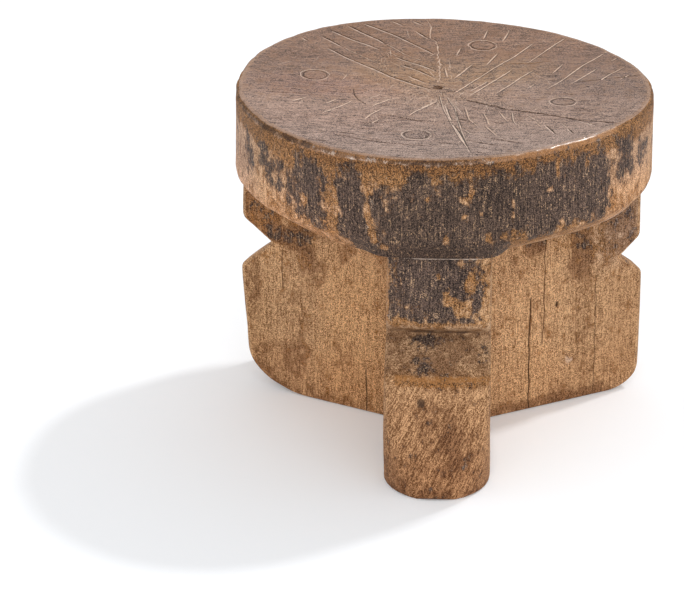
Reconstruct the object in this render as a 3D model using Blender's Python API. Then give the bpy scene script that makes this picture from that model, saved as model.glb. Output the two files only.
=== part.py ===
"""Three-legged stool of dark hardwood: a thick round seat, scored on top, on three broad radial legs.

The legs stand like the spokes of a wheel and meet in mitres at one upright axis. Each has a V notch in its
outer edge and a rounded toe, and its top is scribed to the seat's underside and let into it by a blind tenon.
Metres, +Z up. The origin is on the floor under the middle of the stool, and the front leg points along -Y.
"""

import math
from dataclasses import dataclass

import bmesh
import bpy
from mathutils import Matrix, Vector

# Seat
STOOL_HEIGHT = 0.247
SEAT_CENTRE = (-0.002, 0.0077)
SEAT_RADIUS = 0.14854
SEAT_THICKNESS = 0.075
SEAT_SIDE_HEIGHT = 0.061
SEAT_SIDE_FLARE = 0.0008
SEAT_LEAN = 0.0015
SEAT_CHAMFER_INSET = 0.0145
RIM_ROUNDING = 0.0042
SHOULDER_ROUNDING = 0.008
LOWER_EDGE_ROUNDING = 0.003
DISH_DEPTH = 0.0035
CENTRE_HOLE_OFFSET = -0.0019
CENTRE_HOLE_DIAMETER = 0.0065
CENTRE_HOLE_DEPTH = 0.018

# The rim's hewn swells, each as (swells in a turn, height of a swell, angle of the first one in degrees),
# and the share of them that is left at the underside, which is rounder
UNDERSIDE_SWELL_SHARE = 0.3
RIM_SWELLS = (
    (1, 0.00164, -113.8),
    (2, 0.00138, -65.5),
    (3, 0.00331, 5.3),
    (4, 0.00050, -11.5),
    (5, 0.00078, -16.8),
)

# The lower edge's own swells, written the same way, and its fill over the front leg, rising to both sides
LOWER_EDGE_SWELL = (4, 0.0045, -12.0)
FRONT_FILL = 0.0078
FRONT_FILL_RISE = 0.0053
FRONT_FILL_ANGLE_DEG = -90.0
FRONT_FILL_SPREAD_DEG = 18.5

# The top's gentle waves, each as (height, length, direction and phase in degrees), and the shares of the way
# to the rim between which they rise
TOP_WAVES = (
    (0.00026, 0.052, 20.0, 0.0),
    (0.00022, 0.046, 95.0, 60.0),
    (0.00022, 0.060, 150.0, 200.0),
)
WAVES_FROM = 0.1
WAVES_FULL = 0.3

# The main lines scored into the top, each as (angle in degrees and share of the way to the rim) at both ends
SCORED_LINES = (
    (119.5, 0.930, 111.5, 0.565),
    (113.0, 0.950, 93.0, 0.495),
    (130.5, 0.900, 132.5, 0.480),
    (138.5, 0.760, 171.0, 0.110),
    (115.0, 0.720, 92.5, 0.310),
    (54.0, 0.795, -53.0, 0.105),
    (48.5, 0.945, 40.0, 0.560),
    (30.5, 0.955, -1.0, 0.520),
    (28.5, 0.520, -15.5, 0.280),
    (36.0, 0.435, -40.5, 0.180),
    (-81.5, 0.140, -81.5, 0.840),
    (-57.0, 0.190, -32.5, 0.930),
    (-124.0, 0.870, -92.5, 0.840),
    (94.0, 0.915, 98.5, 0.070),
)
SCORE_WIDTH = 0.0020
SCORE_DEPTH = 0.0009
SCORE_POINTED_SHARE = 0.15

# The round marks cut into the top, each as (angle in degrees, share of the way to the rim)
ROUND_MARKS = (
    (167.0, 0.643),
    (71.0, 0.645),
    (-18.5, 0.628),
    (-99.0, 0.702),
)
ROUND_MARK_RADIUS = 0.0085
ROUND_MARK_WIDTH = 0.0015
ROUND_MARK_DEPTH = 0.0006
GROOVE_CUTTER_RISE = 0.0006

# Legs
LEG_AXIS = (0.0, -0.0058)
LEG_THICKNESS_AT_SEAT = 0.071
LEG_THICKNESS_AT_FLOOR = 0.0745
LEG_FACE_SWELL = 0.0025
LEG_EDGE_ROUNDING = 0.004
SOLE_EDGE_ROUNDING = 0.005
LIP_ROUNDING = 0.006
NOTCH_ROUNDING = 0.0015

# Tenons and fit
TENON_START = 0.045
TENON_LENGTH = 0.055
TENON_WIDTH = 0.030
TENON_HEIGHT = 0.022
FIT_GAP = 0.0003

# Fineness of the curves
SEAT_SEGMENTS = 96
DISH_RINGS = 14
ROUND_STEPS = 5
TOE_STEPS = 8
HOLE_SEGMENTS = 20
SCORE_STEP = 0.018
ROUND_MARK_SEGMENTS = 20
SMOOTH_ANGLE = math.radians(32.0)


@dataclass(frozen=True)
class LegForm:
    """One leg's own measures: reaches from the legs' axis, heights from the floor."""

    name: str
    azimuth_deg: float
    top_reach: float
    upper_lip_reach: float
    upper_lip_height: float
    notch_reach: float
    notch_height: float
    lower_lip_reach: float
    lower_lip_height: float
    foot_reach: float
    toe_length: float
    toe_height: float
    toe_corner: float


LEG_FORMS = (
    LegForm(
        name="leg_front",
        azimuth_deg=-90.5,
        top_reach=0.1275,
        upper_lip_reach=0.1290,
        upper_lip_height=0.1205,
        notch_reach=0.114,
        notch_height=0.110,
        lower_lip_reach=0.146,
        lower_lip_height=0.089,
        foot_reach=0.1535,
        toe_length=0.004,
        toe_height=0.003,
        toe_corner=0.036,
    ),
    LegForm(
        name="leg_rear_right",
        azimuth_deg=28.8,
        top_reach=0.1485,
        upper_lip_reach=0.1500,
        upper_lip_height=0.1212,
        notch_reach=0.1335,
        notch_height=0.1075,
        lower_lip_reach=0.1525,
        lower_lip_height=0.0928,
        foot_reach=0.1530,
        toe_length=0.028,
        toe_height=0.022,
        toe_corner=0.006,
    ),
    LegForm(
        name="leg_rear_left",
        azimuth_deg=153.0,
        top_reach=0.1480,
        upper_lip_reach=0.1490,
        upper_lip_height=0.1340,
        notch_reach=0.1240,
        notch_height=0.1178,
        lower_lip_reach=0.1505,
        lower_lip_height=0.0955,
        foot_reach=0.1455,
        toe_length=0.052,
        toe_height=0.037,
        toe_corner=0.006,
    ),
)

# What follows from the sizes above
SEAT_UNDERSIDE = STOOL_HEIGHT - SEAT_THICKNESS
SEAT_SHOULDER = STOOL_HEIGHT - SEAT_SIDE_HEIGHT
LEG_TOP = SEAT_UNDERSIDE - FIT_GAP
LEG_BLANK_TOP = SEAT_SHOULDER + LOWER_EDGE_ROUNDING

# Colours of the two woods
SEAT_COLOUR = (0.155, 0.088, 0.060, 1.0)
LEG_COLOUR = (0.330, 0.185, 0.090, 1.0)
SEAT_ROUGHNESS = 0.45
LEG_ROUGHNESS = 0.70


def clear_scene():
    """Removes every object of the scene."""
    for thing in list(bpy.data.objects):
        bpy.data.objects.remove(thing, do_unlink=True)


def wood(name, colour, roughness):
    """A plain wood material."""
    material = bpy.data.materials.new(name)
    material.use_nodes = True
    shader = material.node_tree.nodes["Principled BSDF"]
    shader.inputs["Base Color"].default_value = colour
    shader.inputs["Roughness"].default_value = roughness
    shader.inputs["Metallic"].default_value = 0.0
    return material


def rounded_path(corners, roundings):
    """An open path of 2-D corners in which each inner corner is an arc that touches both of its sides."""
    path = [Vector(corners[0])]
    for before, corner, after, radius in zip(corners, corners[1:], corners[2:], roundings):
        corner = Vector(corner)
        to_before = (Vector(before) - corner).normalized()
        to_after = (Vector(after) - corner).normalized()
        half_angle = to_before.angle(to_after) / 2
        touch = radius / math.tan(half_angle)
        centre = corner + (to_before + to_after).normalized() * radius / math.sin(half_angle)
        spoke = corner + to_before * touch - centre
        turn = spoke.angle_signed(corner + to_after * touch - centre)
        for step in range(ROUND_STEPS + 1):
            path.append(centre + Matrix.Rotation(-turn * step / ROUND_STEPS, 2) @ spoke)
    path.append(Vector(corners[-1]))
    return path


def finished(name, form, material):
    """Puts a bmesh into a new object of the scene, smooth but for its sharp edges."""
    mesh = bpy.data.meshes.new(name)
    form.to_mesh(mesh)
    form.free()
    mesh.shade_smooth()
    mesh.set_sharp_from_angle(angle=SMOOTH_ANGLE)
    mesh.materials.append(material)
    thing = bpy.data.objects.new(name, mesh)
    bpy.context.scene.collection.objects.link(thing)
    return thing


def loft(name, rings, material, closed=False):
    """A body through equal rings of points: from the lowest ring to the highest, or round and closed."""
    form = bmesh.new()
    loops = [[form.verts.new(point) for point in ring] for ring in rings]
    following = loops[1:] + loops[:1] if closed else loops[1:]
    for lower, upper in zip(loops, following):
        for i in range(len(lower)):
            j = (i + 1) % len(lower)
            form.faces.new((lower[i], lower[j], upper[j], upper[i]))
    if not closed:
        form.faces.new(list(reversed(loops[0])))
        form.faces.new(loops[-1])
    return finished(name, form, material)


def combine(thing, other, operation):
    """Cuts another body from a piece, or joins it on; the other body stays as a wire guide."""
    other.hide_render = True
    other.display_type = "WIRE"
    modifier = thing.modifiers.new(other.name, "BOOLEAN")
    modifier.operation = operation
    modifier.solver = "EXACT"
    modifier.object = other


def rim_swell(angle):
    """How far the hewn rim stands outside the true circle at an angle."""
    return sum(
        height * math.cos(count * (angle - math.radians(first)))
        for count, height, first in RIM_SWELLS
    )


def lower_edge_swell(angle):
    """How far the lower edge stands outside its circle at an angle: swells, filled out over the front leg."""
    count, height, first = LOWER_EDGE_SWELL
    swell = height * math.cos(count * (angle - math.radians(first)))
    away = math.remainder(math.degrees(angle) - FRONT_FILL_ANGLE_DEG, 360.0) / FRONT_FILL_SPREAD_DEG
    over_leg = math.exp(-(away**8))
    return swell + over_leg * (FRONT_FILL + FRONT_FILL_RISE * away**2 - swell)


def seat_ring(radius, height):
    """A ring round the seat's centre at a height of its section.

    The rim's swells are in proportion to the radius and fade to the underside, the side leans, and the lower
    edge's own swells grow from the shoulder down.
    """
    drop = (STOOL_HEIGHT - height) / SEAT_THICKNESS
    share = (1 - (1 - UNDERSIDE_SWELL_SHARE) * drop) / SEAT_RADIUS
    leaning = min(1.0, (STOOL_HEIGHT - height) / SEAT_SIDE_HEIGHT) * SEAT_LEAN
    below = min(1.0, max(0.0, (SEAT_SHOULDER - height) / (SEAT_SHOULDER - SEAT_UNDERSIDE)))
    ring = []
    for step in range(SEAT_SEGMENTS):
        angle = 2 * math.pi * step / SEAT_SEGMENTS
        reach = radius * (1 + share * rim_swell(angle)) + below * lower_edge_swell(angle)
        reach += leaning * math.cos(angle)
        x = SEAT_CENTRE[0] + reach * math.cos(angle)
        y = SEAT_CENTRE[1] + reach * math.sin(angle)
        ring.append((x, y, height))
    return ring


def top_brim(angle):
    """Distance from the seat's centre at which the dished top meets the rounded rim."""
    return (SEAT_RADIUS - RIM_ROUNDING) * (1 + rim_swell(angle) / SEAT_RADIUS)


def top_place(angle_deg, share):
    """A place on the top in the plan, by its angle and its share of the way to the rim."""
    angle = math.radians(angle_deg)
    reach = share * top_brim(angle)
    return Vector((SEAT_CENTRE[0] + reach * math.cos(angle), SEAT_CENTRE[1] + reach * math.sin(angle)))


def top_level(x, y):
    """Height of the dished and gently waved top over a place in the plan."""
    x, y = x - SEAT_CENTRE[0], y - SEAT_CENTRE[1]
    share = min(1.0, math.hypot(x, y) / top_brim(math.atan2(y, x)))
    wave = 0.0
    for height, length, direction, phase in TOP_WAVES:
        along = x * math.cos(math.radians(direction)) + y * math.sin(math.radians(direction))
        wave += height * math.cos(2 * math.pi * along / length + math.radians(phase))
    rise = min(1.0, max(0.0, (share - WAVES_FROM) / (WAVES_FULL - WAVES_FROM)))
    rise *= rise * (3 - 2 * rise)
    return STOOL_HEIGHT - DISH_DEPTH * (1 - share**2) + wave * rise * (1 - share**6)


def seat_body(name, grow, material):
    """The seat's block: chamfered below, rounded at the rim, dished on top; grown outwards for a cutter."""
    underside = SEAT_UNDERSIDE - grow
    section = rounded_path(
        [
            (0.0, underside),
            (SEAT_RADIUS - SEAT_CHAMFER_INSET + grow, underside),
            (SEAT_RADIUS + SEAT_SIDE_FLARE + grow, SEAT_SHOULDER),
            (SEAT_RADIUS + grow, STOOL_HEIGHT),
            (0.0, STOOL_HEIGHT),
        ],
        [LOWER_EDGE_ROUNDING, SHOULDER_ROUNDING, RIM_ROUNDING],
    )
    rings = [seat_ring(radius, height) for radius, height in section[1:-1]]
    brim = SEAT_RADIUS - RIM_ROUNDING
    for step in range(1, DISH_RINGS + 1):
        share = 1 - step / (DISH_RINGS + 1)
        rings.append([(x, y, top_level(x, y)) for x, y, _ in seat_ring(brim * share, STOOL_HEIGHT)])
    return loft(name, rings, material)


def groove_section(place, direction, width, depth):
    """A V groove's section at a place of the top: its bottom and both sides, which rise above the wood."""
    level = top_level(*place)
    side = Vector((-direction.y, direction.x)) * width / 2 * (1 + GROOVE_CUTTER_RISE / depth)
    top = level + GROOVE_CUTTER_RISE
    return [(*place, level - depth), (*(place + side), top), (*(place - side), top)]


def scored_line(number, line, material):
    """A straight scored line as a cutter that follows the top and is pointed at both ends."""
    start, end = top_place(*line[:2]), top_place(*line[2:])
    direction = (end - start).normalized()
    steps = max(2, round((end - start).length / SCORE_STEP))
    sections = []
    for step in range(steps + 1):
        taper = SCORE_POINTED_SHARE if step in (0, steps) else 1.0
        place = start.lerp(end, step / steps)
        sections.append(groove_section(place, direction, SCORE_WIDTH * taper, SCORE_DEPTH * taper))
    return loft(f"scored_line_{number}", sections, material)


def round_mark(number, mark, material):
    """A round mark as a ring-shaped cutter that follows the top."""
    centre = top_place(*mark)
    sections = []
    for step in range(ROUND_MARK_SEGMENTS):
        angle = 2 * math.pi * step / ROUND_MARK_SEGMENTS
        spoke = Vector((math.cos(angle), math.sin(angle)))
        direction = Vector((-spoke.y, spoke.x))
        place = centre + spoke * ROUND_MARK_RADIUS
        sections.append(groove_section(place, direction, ROUND_MARK_WIDTH, ROUND_MARK_DEPTH))
    return loft(f"round_mark_{number}", sections, material, closed=True)


def centre_hole(material):
    """The small blind hole near the seat's centre, as a cutter that stands proud of the dish."""
    form = bmesh.new()
    bottom = STOOL_HEIGHT - DISH_DEPTH - CENTRE_HOLE_DEPTH
    x, y = SEAT_CENTRE[0] + CENTRE_HOLE_OFFSET, SEAT_CENTRE[1]
    radius = CENTRE_HOLE_DIAMETER / 2
    bmesh.ops.create_cone(
        form,
        cap_ends=True,
        segments=HOLE_SEGMENTS,
        radius1=radius,
        radius2=radius,
        depth=STOOL_HEIGHT - bottom,
        matrix=Matrix.Translation((x, y, (bottom + STOOL_HEIGHT) / 2)),
    )
    return finished("centre_hole_cutter", form, material)


def leg_frame(form):
    """The matrix that turns a leg's own reach, side and height to its place round the legs' axis."""
    turn = Matrix.Rotation(math.radians(form.azimuth_deg), 4, "Z")
    return Matrix.Translation((*LEG_AXIS, 0.0)) @ turn


def mitre_angle(form, way):
    """The angle from a leg to the mitre that it shares with the next leg, going round by way (1 or -1)."""
    others = [other.azimuth_deg for other in LEG_FORMS if other is not form]
    return math.radians(min(way * (other - form.azimuth_deg) % 360.0 for other in others)) / 2


def leg_outline(form):
    """A leg's outer edge as (reach, height), from the flat of the sole up past the seat's underside."""
    toe = []
    for step in range(TOE_STEPS):
        angle = math.pi / 2 * (1 - step / TOE_STEPS)
        reach = form.foot_reach - form.toe_length * (1 - math.cos(angle))
        toe.append((reach, form.toe_height * (1 - math.sin(angle))))
    edge = rounded_path(
        [
            (form.foot_reach, form.toe_height),
            (form.lower_lip_reach, form.lower_lip_height),
            (form.notch_reach, form.notch_height),
            (form.upper_lip_reach, form.upper_lip_height),
            (form.top_reach, LEG_BLANK_TOP),
        ],
        [LIP_ROUNDING, NOTCH_ROUNDING, LIP_ROUNDING],
    )
    return toe + [tuple(point) for point in edge]


def leg_half_thickness(height):
    """Half of a leg's thickness at a height, drawn in round the sole's edge."""
    taper = LEG_THICKNESS_AT_SEAT - LEG_THICKNESS_AT_FLOOR
    half = (LEG_THICKNESS_AT_FLOOR + taper * height / SEAT_UNDERSIDE) / 2
    under = max(0.0, 1 - height / SOLE_EDGE_ROUNDING)
    return half - SOLE_EDGE_ROUNDING * (1 - math.sqrt(1 - under**2))


def leg_inner_end(form, half):
    """The left corner, the tip on the axis and the right corner of a leg's mitred end, less half the gap."""
    left, right = mitre_angle(form, 1), mitre_angle(form, -1)
    gap = FIT_GAP / 2
    spread = math.sin(left + right)
    tip = (
        gap * (math.cos(left) + math.cos(right)) / spread,
        gap * (math.sin(left) - math.sin(right)) / spread,
    )
    left_corner = ((gap + half * math.cos(left)) / math.sin(left), half)
    right_corner = ((gap + half * math.cos(right)) / math.sin(right), -half)
    return [left_corner, tip, right_corner]


def leg_outer_end(form, reach, height, half):
    """A leg's outer end from right to left: a rounded corner, the slightly swelled face, a rounded corner."""
    fall = max(0.0, 1 - height / form.lower_lip_height)
    corner = LEG_EDGE_ROUNDING + (form.toe_corner - LEG_EDGE_ROUNDING) * fall**2
    arc = []
    for step in range(ROUND_STEPS + 1):
        angle = math.pi / 2 * step / ROUND_STEPS
        arc.append((reach - corner * (1 - math.sin(angle)), half - corner * (1 - math.cos(angle))))
    end = [(u, -v) for u, v in arc] + [(reach, 0.0)] + arc[::-1]
    return [(u - LEG_FACE_SWELL * (v / half) ** 2, v) for u, v in end]


def tenon(form, name, grow, material):
    """The block of a leg's tenon, let into the leg below and grown by a clearance for its mortise."""
    low = Vector((TENON_START, -TENON_WIDTH / 2, LEG_TOP - TENON_HEIGHT))
    high = Vector((TENON_START + TENON_LENGTH, TENON_WIDTH / 2, LEG_TOP + TENON_HEIGHT))
    size = high - low + Vector((2 * grow, 2 * grow, 2 * grow))
    block = bmesh.new()
    bmesh.ops.create_cube(block, size=1.0)
    bmesh.ops.scale(block, vec=size, verts=block.verts)
    bmesh.ops.translate(block, vec=(low + high) / 2, verts=block.verts)
    bmesh.ops.transform(block, matrix=leg_frame(form), verts=block.verts)
    return finished(name, block, material)


def build_leg(form, seat_space, material):
    """One leg: its lofted blank, scribed to the seat, with its tenon."""
    frame = leg_frame(form)
    rings = []
    for reach, height in leg_outline(form):
        half = leg_half_thickness(height)
        section = leg_outer_end(form, reach, height, half) + leg_inner_end(form, half)
        rings.append([frame @ Vector((u, v, height)) for u, v in section])
    leg = loft(form.name, rings, material)
    combine(leg, seat_space, "DIFFERENCE")
    combine(leg, tenon(form, f"{form.name}_tenon", 0.0, material), "UNION")
    return leg


def build_seat(material):
    """The seat, with its scored top, its centre hole and a mortise for each leg."""
    seat = seat_body("seat", 0.0, material)
    cutters = [scored_line(number, line, material) for number, line in enumerate(SCORED_LINES)]
    cutters += [round_mark(number, mark, material) for number, mark in enumerate(ROUND_MARKS)]
    for cutter in cutters + [centre_hole(material)]:
        combine(seat, cutter, "DIFFERENCE")
    for form in LEG_FORMS:
        combine(seat, tenon(form, f"{form.name}_mortise", FIT_GAP, material), "DIFFERENCE")
    return seat


def build_stool():
    """The whole stool under one empty at the origin."""
    seat_wood = wood("seat_wood", SEAT_COLOUR, SEAT_ROUGHNESS)
    leg_wood = wood("leg_wood", LEG_COLOUR, LEG_ROUGHNESS)
    stool = bpy.data.objects.new("stool", None)
    bpy.context.scene.collection.objects.link(stool)
    seat_space = seat_body("seat_space", FIT_GAP, seat_wood)
    pieces = [build_seat(seat_wood)]
    pieces += [build_leg(form, seat_space, leg_wood) for form in LEG_FORMS]
    for piece in pieces:
        piece.parent = stool


clear_scene()
build_stool()
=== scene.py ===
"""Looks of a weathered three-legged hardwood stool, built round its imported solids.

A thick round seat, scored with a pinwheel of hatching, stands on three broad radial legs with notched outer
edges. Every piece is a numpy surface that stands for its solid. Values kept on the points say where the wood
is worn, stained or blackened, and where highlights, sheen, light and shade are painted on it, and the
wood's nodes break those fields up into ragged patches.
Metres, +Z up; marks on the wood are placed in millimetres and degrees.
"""

import itertools
import logging
import math
from dataclasses import dataclass, field
from enum import Enum

import bpy
import numpy as np
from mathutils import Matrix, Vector
from mathutils.geometry import delaunay_2d_cdt


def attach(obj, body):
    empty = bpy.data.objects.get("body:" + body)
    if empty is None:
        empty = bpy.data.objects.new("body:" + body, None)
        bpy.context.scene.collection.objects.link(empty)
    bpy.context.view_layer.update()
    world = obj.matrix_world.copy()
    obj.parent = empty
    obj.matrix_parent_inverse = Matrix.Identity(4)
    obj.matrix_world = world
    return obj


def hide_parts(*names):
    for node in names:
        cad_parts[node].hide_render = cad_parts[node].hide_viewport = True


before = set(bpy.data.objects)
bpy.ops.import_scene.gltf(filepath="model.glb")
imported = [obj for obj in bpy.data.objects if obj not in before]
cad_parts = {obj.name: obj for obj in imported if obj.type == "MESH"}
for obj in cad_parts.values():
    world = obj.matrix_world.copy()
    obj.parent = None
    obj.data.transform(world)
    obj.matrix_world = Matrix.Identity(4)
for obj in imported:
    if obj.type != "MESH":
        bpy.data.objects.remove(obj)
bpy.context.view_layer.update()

Array = np.ndarray
Socket = bpy.types.NodeSocket
Colour = tuple[float, float, float, float]

log = logging.getLogger("stool")
MM = 0.001
TINT = "tint"
CREASE = math.radians(34.0)
STROKE_PITCH = 2.4 * MM


class Wear(Enum):
    """What a value on the points says of the wood there; pale and dark values also carry painted highlights
    and painted shade.
    """

    PATINA = "patina"
    OCHRE = "ochre"
    STAIN = "stain"
    PALE = "pale"
    DARK = "dark"
    TOP = "top"
    EDGE = "edge"
    TOOLED = "tooled"


class Face(Enum):
    """The faces of a leg: its outer end and its two broad sides."""

    END = "end"
    LEFT = "left"
    RIGHT = "right"


# A leg's columns carry their face's number; the tip at the legs' axis has the number after the last
FACE_NUMBER = {face: number for number, face in enumerate(Face)}
TIP_NUMBER = len(FACE_NUMBER)


@dataclass(frozen=True)
class Blot:
    """A soft patch of one kind of wear between two edges across and two edges up."""

    wear: Wear
    low: float
    high: float
    bottom: float
    top: float
    strength: float = 1.0

    def over(self, across: Array, up: Array) -> Array:
        """The patch's value: strength times 2 to the minus q, q the sum of both half-widths' fourth powers.

        Args:
            across: places across the face.
            up: places up the face.

        Returns:
            The value at each place, half the strength on the patch's edges.
        """
        a = (2 * across - self.low - self.high) / (self.high - self.low)
        b = (2 * up - self.bottom - self.top) / (self.top - self.bottom)
        return self.strength * np.exp2(-np.minimum(a**4 + b**4, 60.0))


def blots(rows: dict[Wear, list[tuple[float, ...]]]) -> tuple[Blot, ...]:
    """Blots from rows of low, high, bottom, top and strength by kind of wear."""
    return tuple(Blot(wear, *row) for wear, group in rows.items() for row in group)


@dataclass(frozen=True)
class Tint:
    """A soft patch between two edges across and two edges up, with the share of each colour that it keeps."""

    low: float
    high: float
    bottom: float
    top: float
    keep: tuple[float, float, float]

    def over(self, across: Array, up: Array) -> Array:
        """The patch's colour: from white outside to the kept shares inside, by a blot's value."""
        share = Blot(Wear.STAIN, self.low, self.high, self.bottom, self.top).over(across, up)
        return 1 + share[:, None] * (np.array(self.keep) - 1)


Mark = Blot | Tint


def on_face(face: Face, *marks: Mark) -> tuple[tuple[Face, Mark], ...]:
    """The marks, each with the face of a leg that it lies on."""
    return tuple((face, mark) for mark in marks)


class LatticeNoise:
    """Smooth noise in space: random values on the corners of a lattice, blended by a quintic fade."""

    SIDE = 64

    def __init__(self, seed: int) -> None:
        """Draws the lattice's values from a seed."""
        self.values = np.random.default_rng(seed).uniform(-1.0, 1.0, (self.SIDE,) * 3)

    def at(self, points: Array) -> Array:
        """The noise at some places.

        Args:
            points: places in lattice cells, three numbers each.

        Returns:
            A value from -1 to 1 at each place.
        """
        cell = np.floor(points).astype(int)
        part = points - cell
        fade = part**3 * (part * (part * 6 - 15) + 10)
        total = np.zeros(points.shape[:-1])
        for corner in itertools.product((0, 1), repeat=3):
            step = np.array(corner)
            weight = np.prod(np.where(step == 1, fade, 1 - fade), axis=-1)
            index = (cell + step) % self.SIDE
            total += weight * self.values[index[..., 0], index[..., 1], index[..., 2]]
        return total

    def grained(self, points: Array, width: float, length: float) -> Array:
        """Noise drawn out along the grain, which runs up the stool.

        Args:
            points: places in metres.
            width: size of a swell across the grain, in metres.
            length: its size along the grain, in metres.

        Returns:
            A value from -1 to 1 at each place.
        """
        return self.at(points / np.array([width, width, length]))


@dataclass(frozen=True)
class Swells:
    """Soft hewn swells: height, sizes across and along the grain, and a shift in the noise."""

    height: float
    width: float
    length: float
    shift: float = 0.0

    def over(self, points: Array, noise: LatticeNoise) -> Array:
        """How far the swells move each place: the height times the noise there."""
        return self.height * noise.grained(points + self.shift, self.width, self.length)


@dataclass
class Surface:
    """A mesh in the making: its points, its faces and the values on its points."""

    points: Array
    faces: list[list[int]]
    values: dict[Wear, Array] = field(default_factory=dict)
    tint: Array | None = None

    def make(self, name: str, node: str, material: bpy.types.Material) -> bpy.types.Object:
        """Puts the surface into the scene as the piece that stands for a solid.

        Args:
            name: the piece's name.
            node: the solid that it stands for.
            material: its material.

        Returns:
            The new object.
        """
        mesh = bpy.data.meshes.new(name)
        mesh.from_pydata(self.points.tolist(), [], self.faces)
        mesh.shade_smooth()
        mesh.set_sharp_from_angle(angle=CREASE)
        for wear in Wear:
            value = np.broadcast_to(self.values.get(wear, 0.0), len(self.points))
            layer = mesh.attributes.new(wear.value, "FLOAT", "POINT")
            layer.data.foreach_set("value", np.ascontiguousarray(value, np.float32))
        colours = np.ones((len(self.points), 4), np.float32)
        if self.tint is not None:
            colours[:, :3] = self.tint
        mesh.attributes.new(TINT, "FLOAT_COLOR", "POINT").data.foreach_set("color", colours.ravel())
        mesh.materials.append(material)
        piece = bpy.data.objects.new(name, mesh)
        bpy.context.scene.collection.objects.link(piece)
        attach(piece, "root")
        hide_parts(node)
        log.info("%s: %d points, %d faces", name, len(mesh.vertices), len(mesh.polygons))
        return piece


def smooth(value: Array, low: float, high: float) -> Array:
    """A smooth step from 0 at low to 1 at high: 3t^2 - 2t^3 of the share t of the way.

    Args:
        value: where to take the step.
        low: where it starts.
        high: where it ends.

    Returns:
        The step's height at each value.
    """
    t = np.clip((value - low) / (high - low), 0.0, 1.0)
    return t * t * (3 - 2 * t)


def ring_faces(rows: int, columns: int) -> Array:
    """Quads between rings of points that go round anticlockwise, from the lowest ring up.

    Args:
        rows: number of rings.
        columns: points in a ring.

    Returns:
        Four indices for each quad, facing outwards.
    """
    index = np.arange(rows * columns).reshape(rows, columns)
    turned = np.roll(index, -1, axis=1)
    return np.stack([index[:-1], turned[:-1], turned[1:], index[1:]], axis=-1).reshape(-1, 4)


def filleted(corners: list[tuple[float, float]], radii: list[float], steps: int = 10) -> Array:
    """An open path whose inner corners are arcs that touch both of their sides.

    Each arc is the sum of its two end spokes, weighted by sin((1-t)a)/sin(a) and sin(ta)/sin(a).

    Args:
        corners: the path's corners.
        radii: the arc's radius at each inner corner.
        steps: straight steps in an arc.

    Returns:
        The path's points.
    """
    path = [np.array([corners[0]])]
    share = np.linspace(0.0, 1.0, steps + 1)[:, None]
    for before, corner, after, radius in zip(corners, corners[1:], corners[2:], radii):
        here = np.array(corner)
        back = np.array(before) - here
        back /= np.linalg.norm(back)
        on = np.array(after) - here
        on /= np.linalg.norm(on)
        half = math.acos(float(np.clip(back @ on, -1.0, 1.0))) / 2
        middle = (back + on) / np.linalg.norm(back + on)
        centre = here + middle * radius / math.sin(half)
        first = here + back * radius / math.tan(half) - centre
        last = here + on * radius / math.tan(half) - centre
        turn = math.pi - 2 * half
        arc = np.sin((1 - share) * turn) * first + np.sin(share * turn) * last
        path.append(centre + arc / math.sin(turn))
    path.append(np.array([corners[-1]]))
    return np.concatenate(path)


def spaced(path: Array, pitch: float) -> Array:
    """A path's points again, evenly spaced along its length.

    Args:
        path: the path's points.
        pitch: the spacing, met as closely as a whole number of steps allows.

    Returns:
        The new points, from the path's first to its last.
    """
    length = np.concatenate([[0.0], np.cumsum(np.linalg.norm(np.diff(path, axis=0), axis=1))])
    steps = max(1, round(length[-1] / pitch))
    place = np.linspace(0.0, length[-1], steps + 1)
    return np.stack([np.interp(place, length, axis) for axis in path.T], axis=-1)


def at_bearing(flat: Array, rim: Array, value: Array) -> Array:
    """A value given round a rim, taken at the bearing of other places from the rim's centre.

    Args:
        flat: the places in the plan, from the centre.
        rim: the rim's points, from the centre.
        value: the value at each point of the rim.

    Returns:
        The value at each place.
    """
    bearing, angle = (np.arctan2(spots[:, 1], spots[:, 0]) for spots in (flat, rim))
    return np.interp(bearing, angle, value, period=2 * math.pi)


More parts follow.
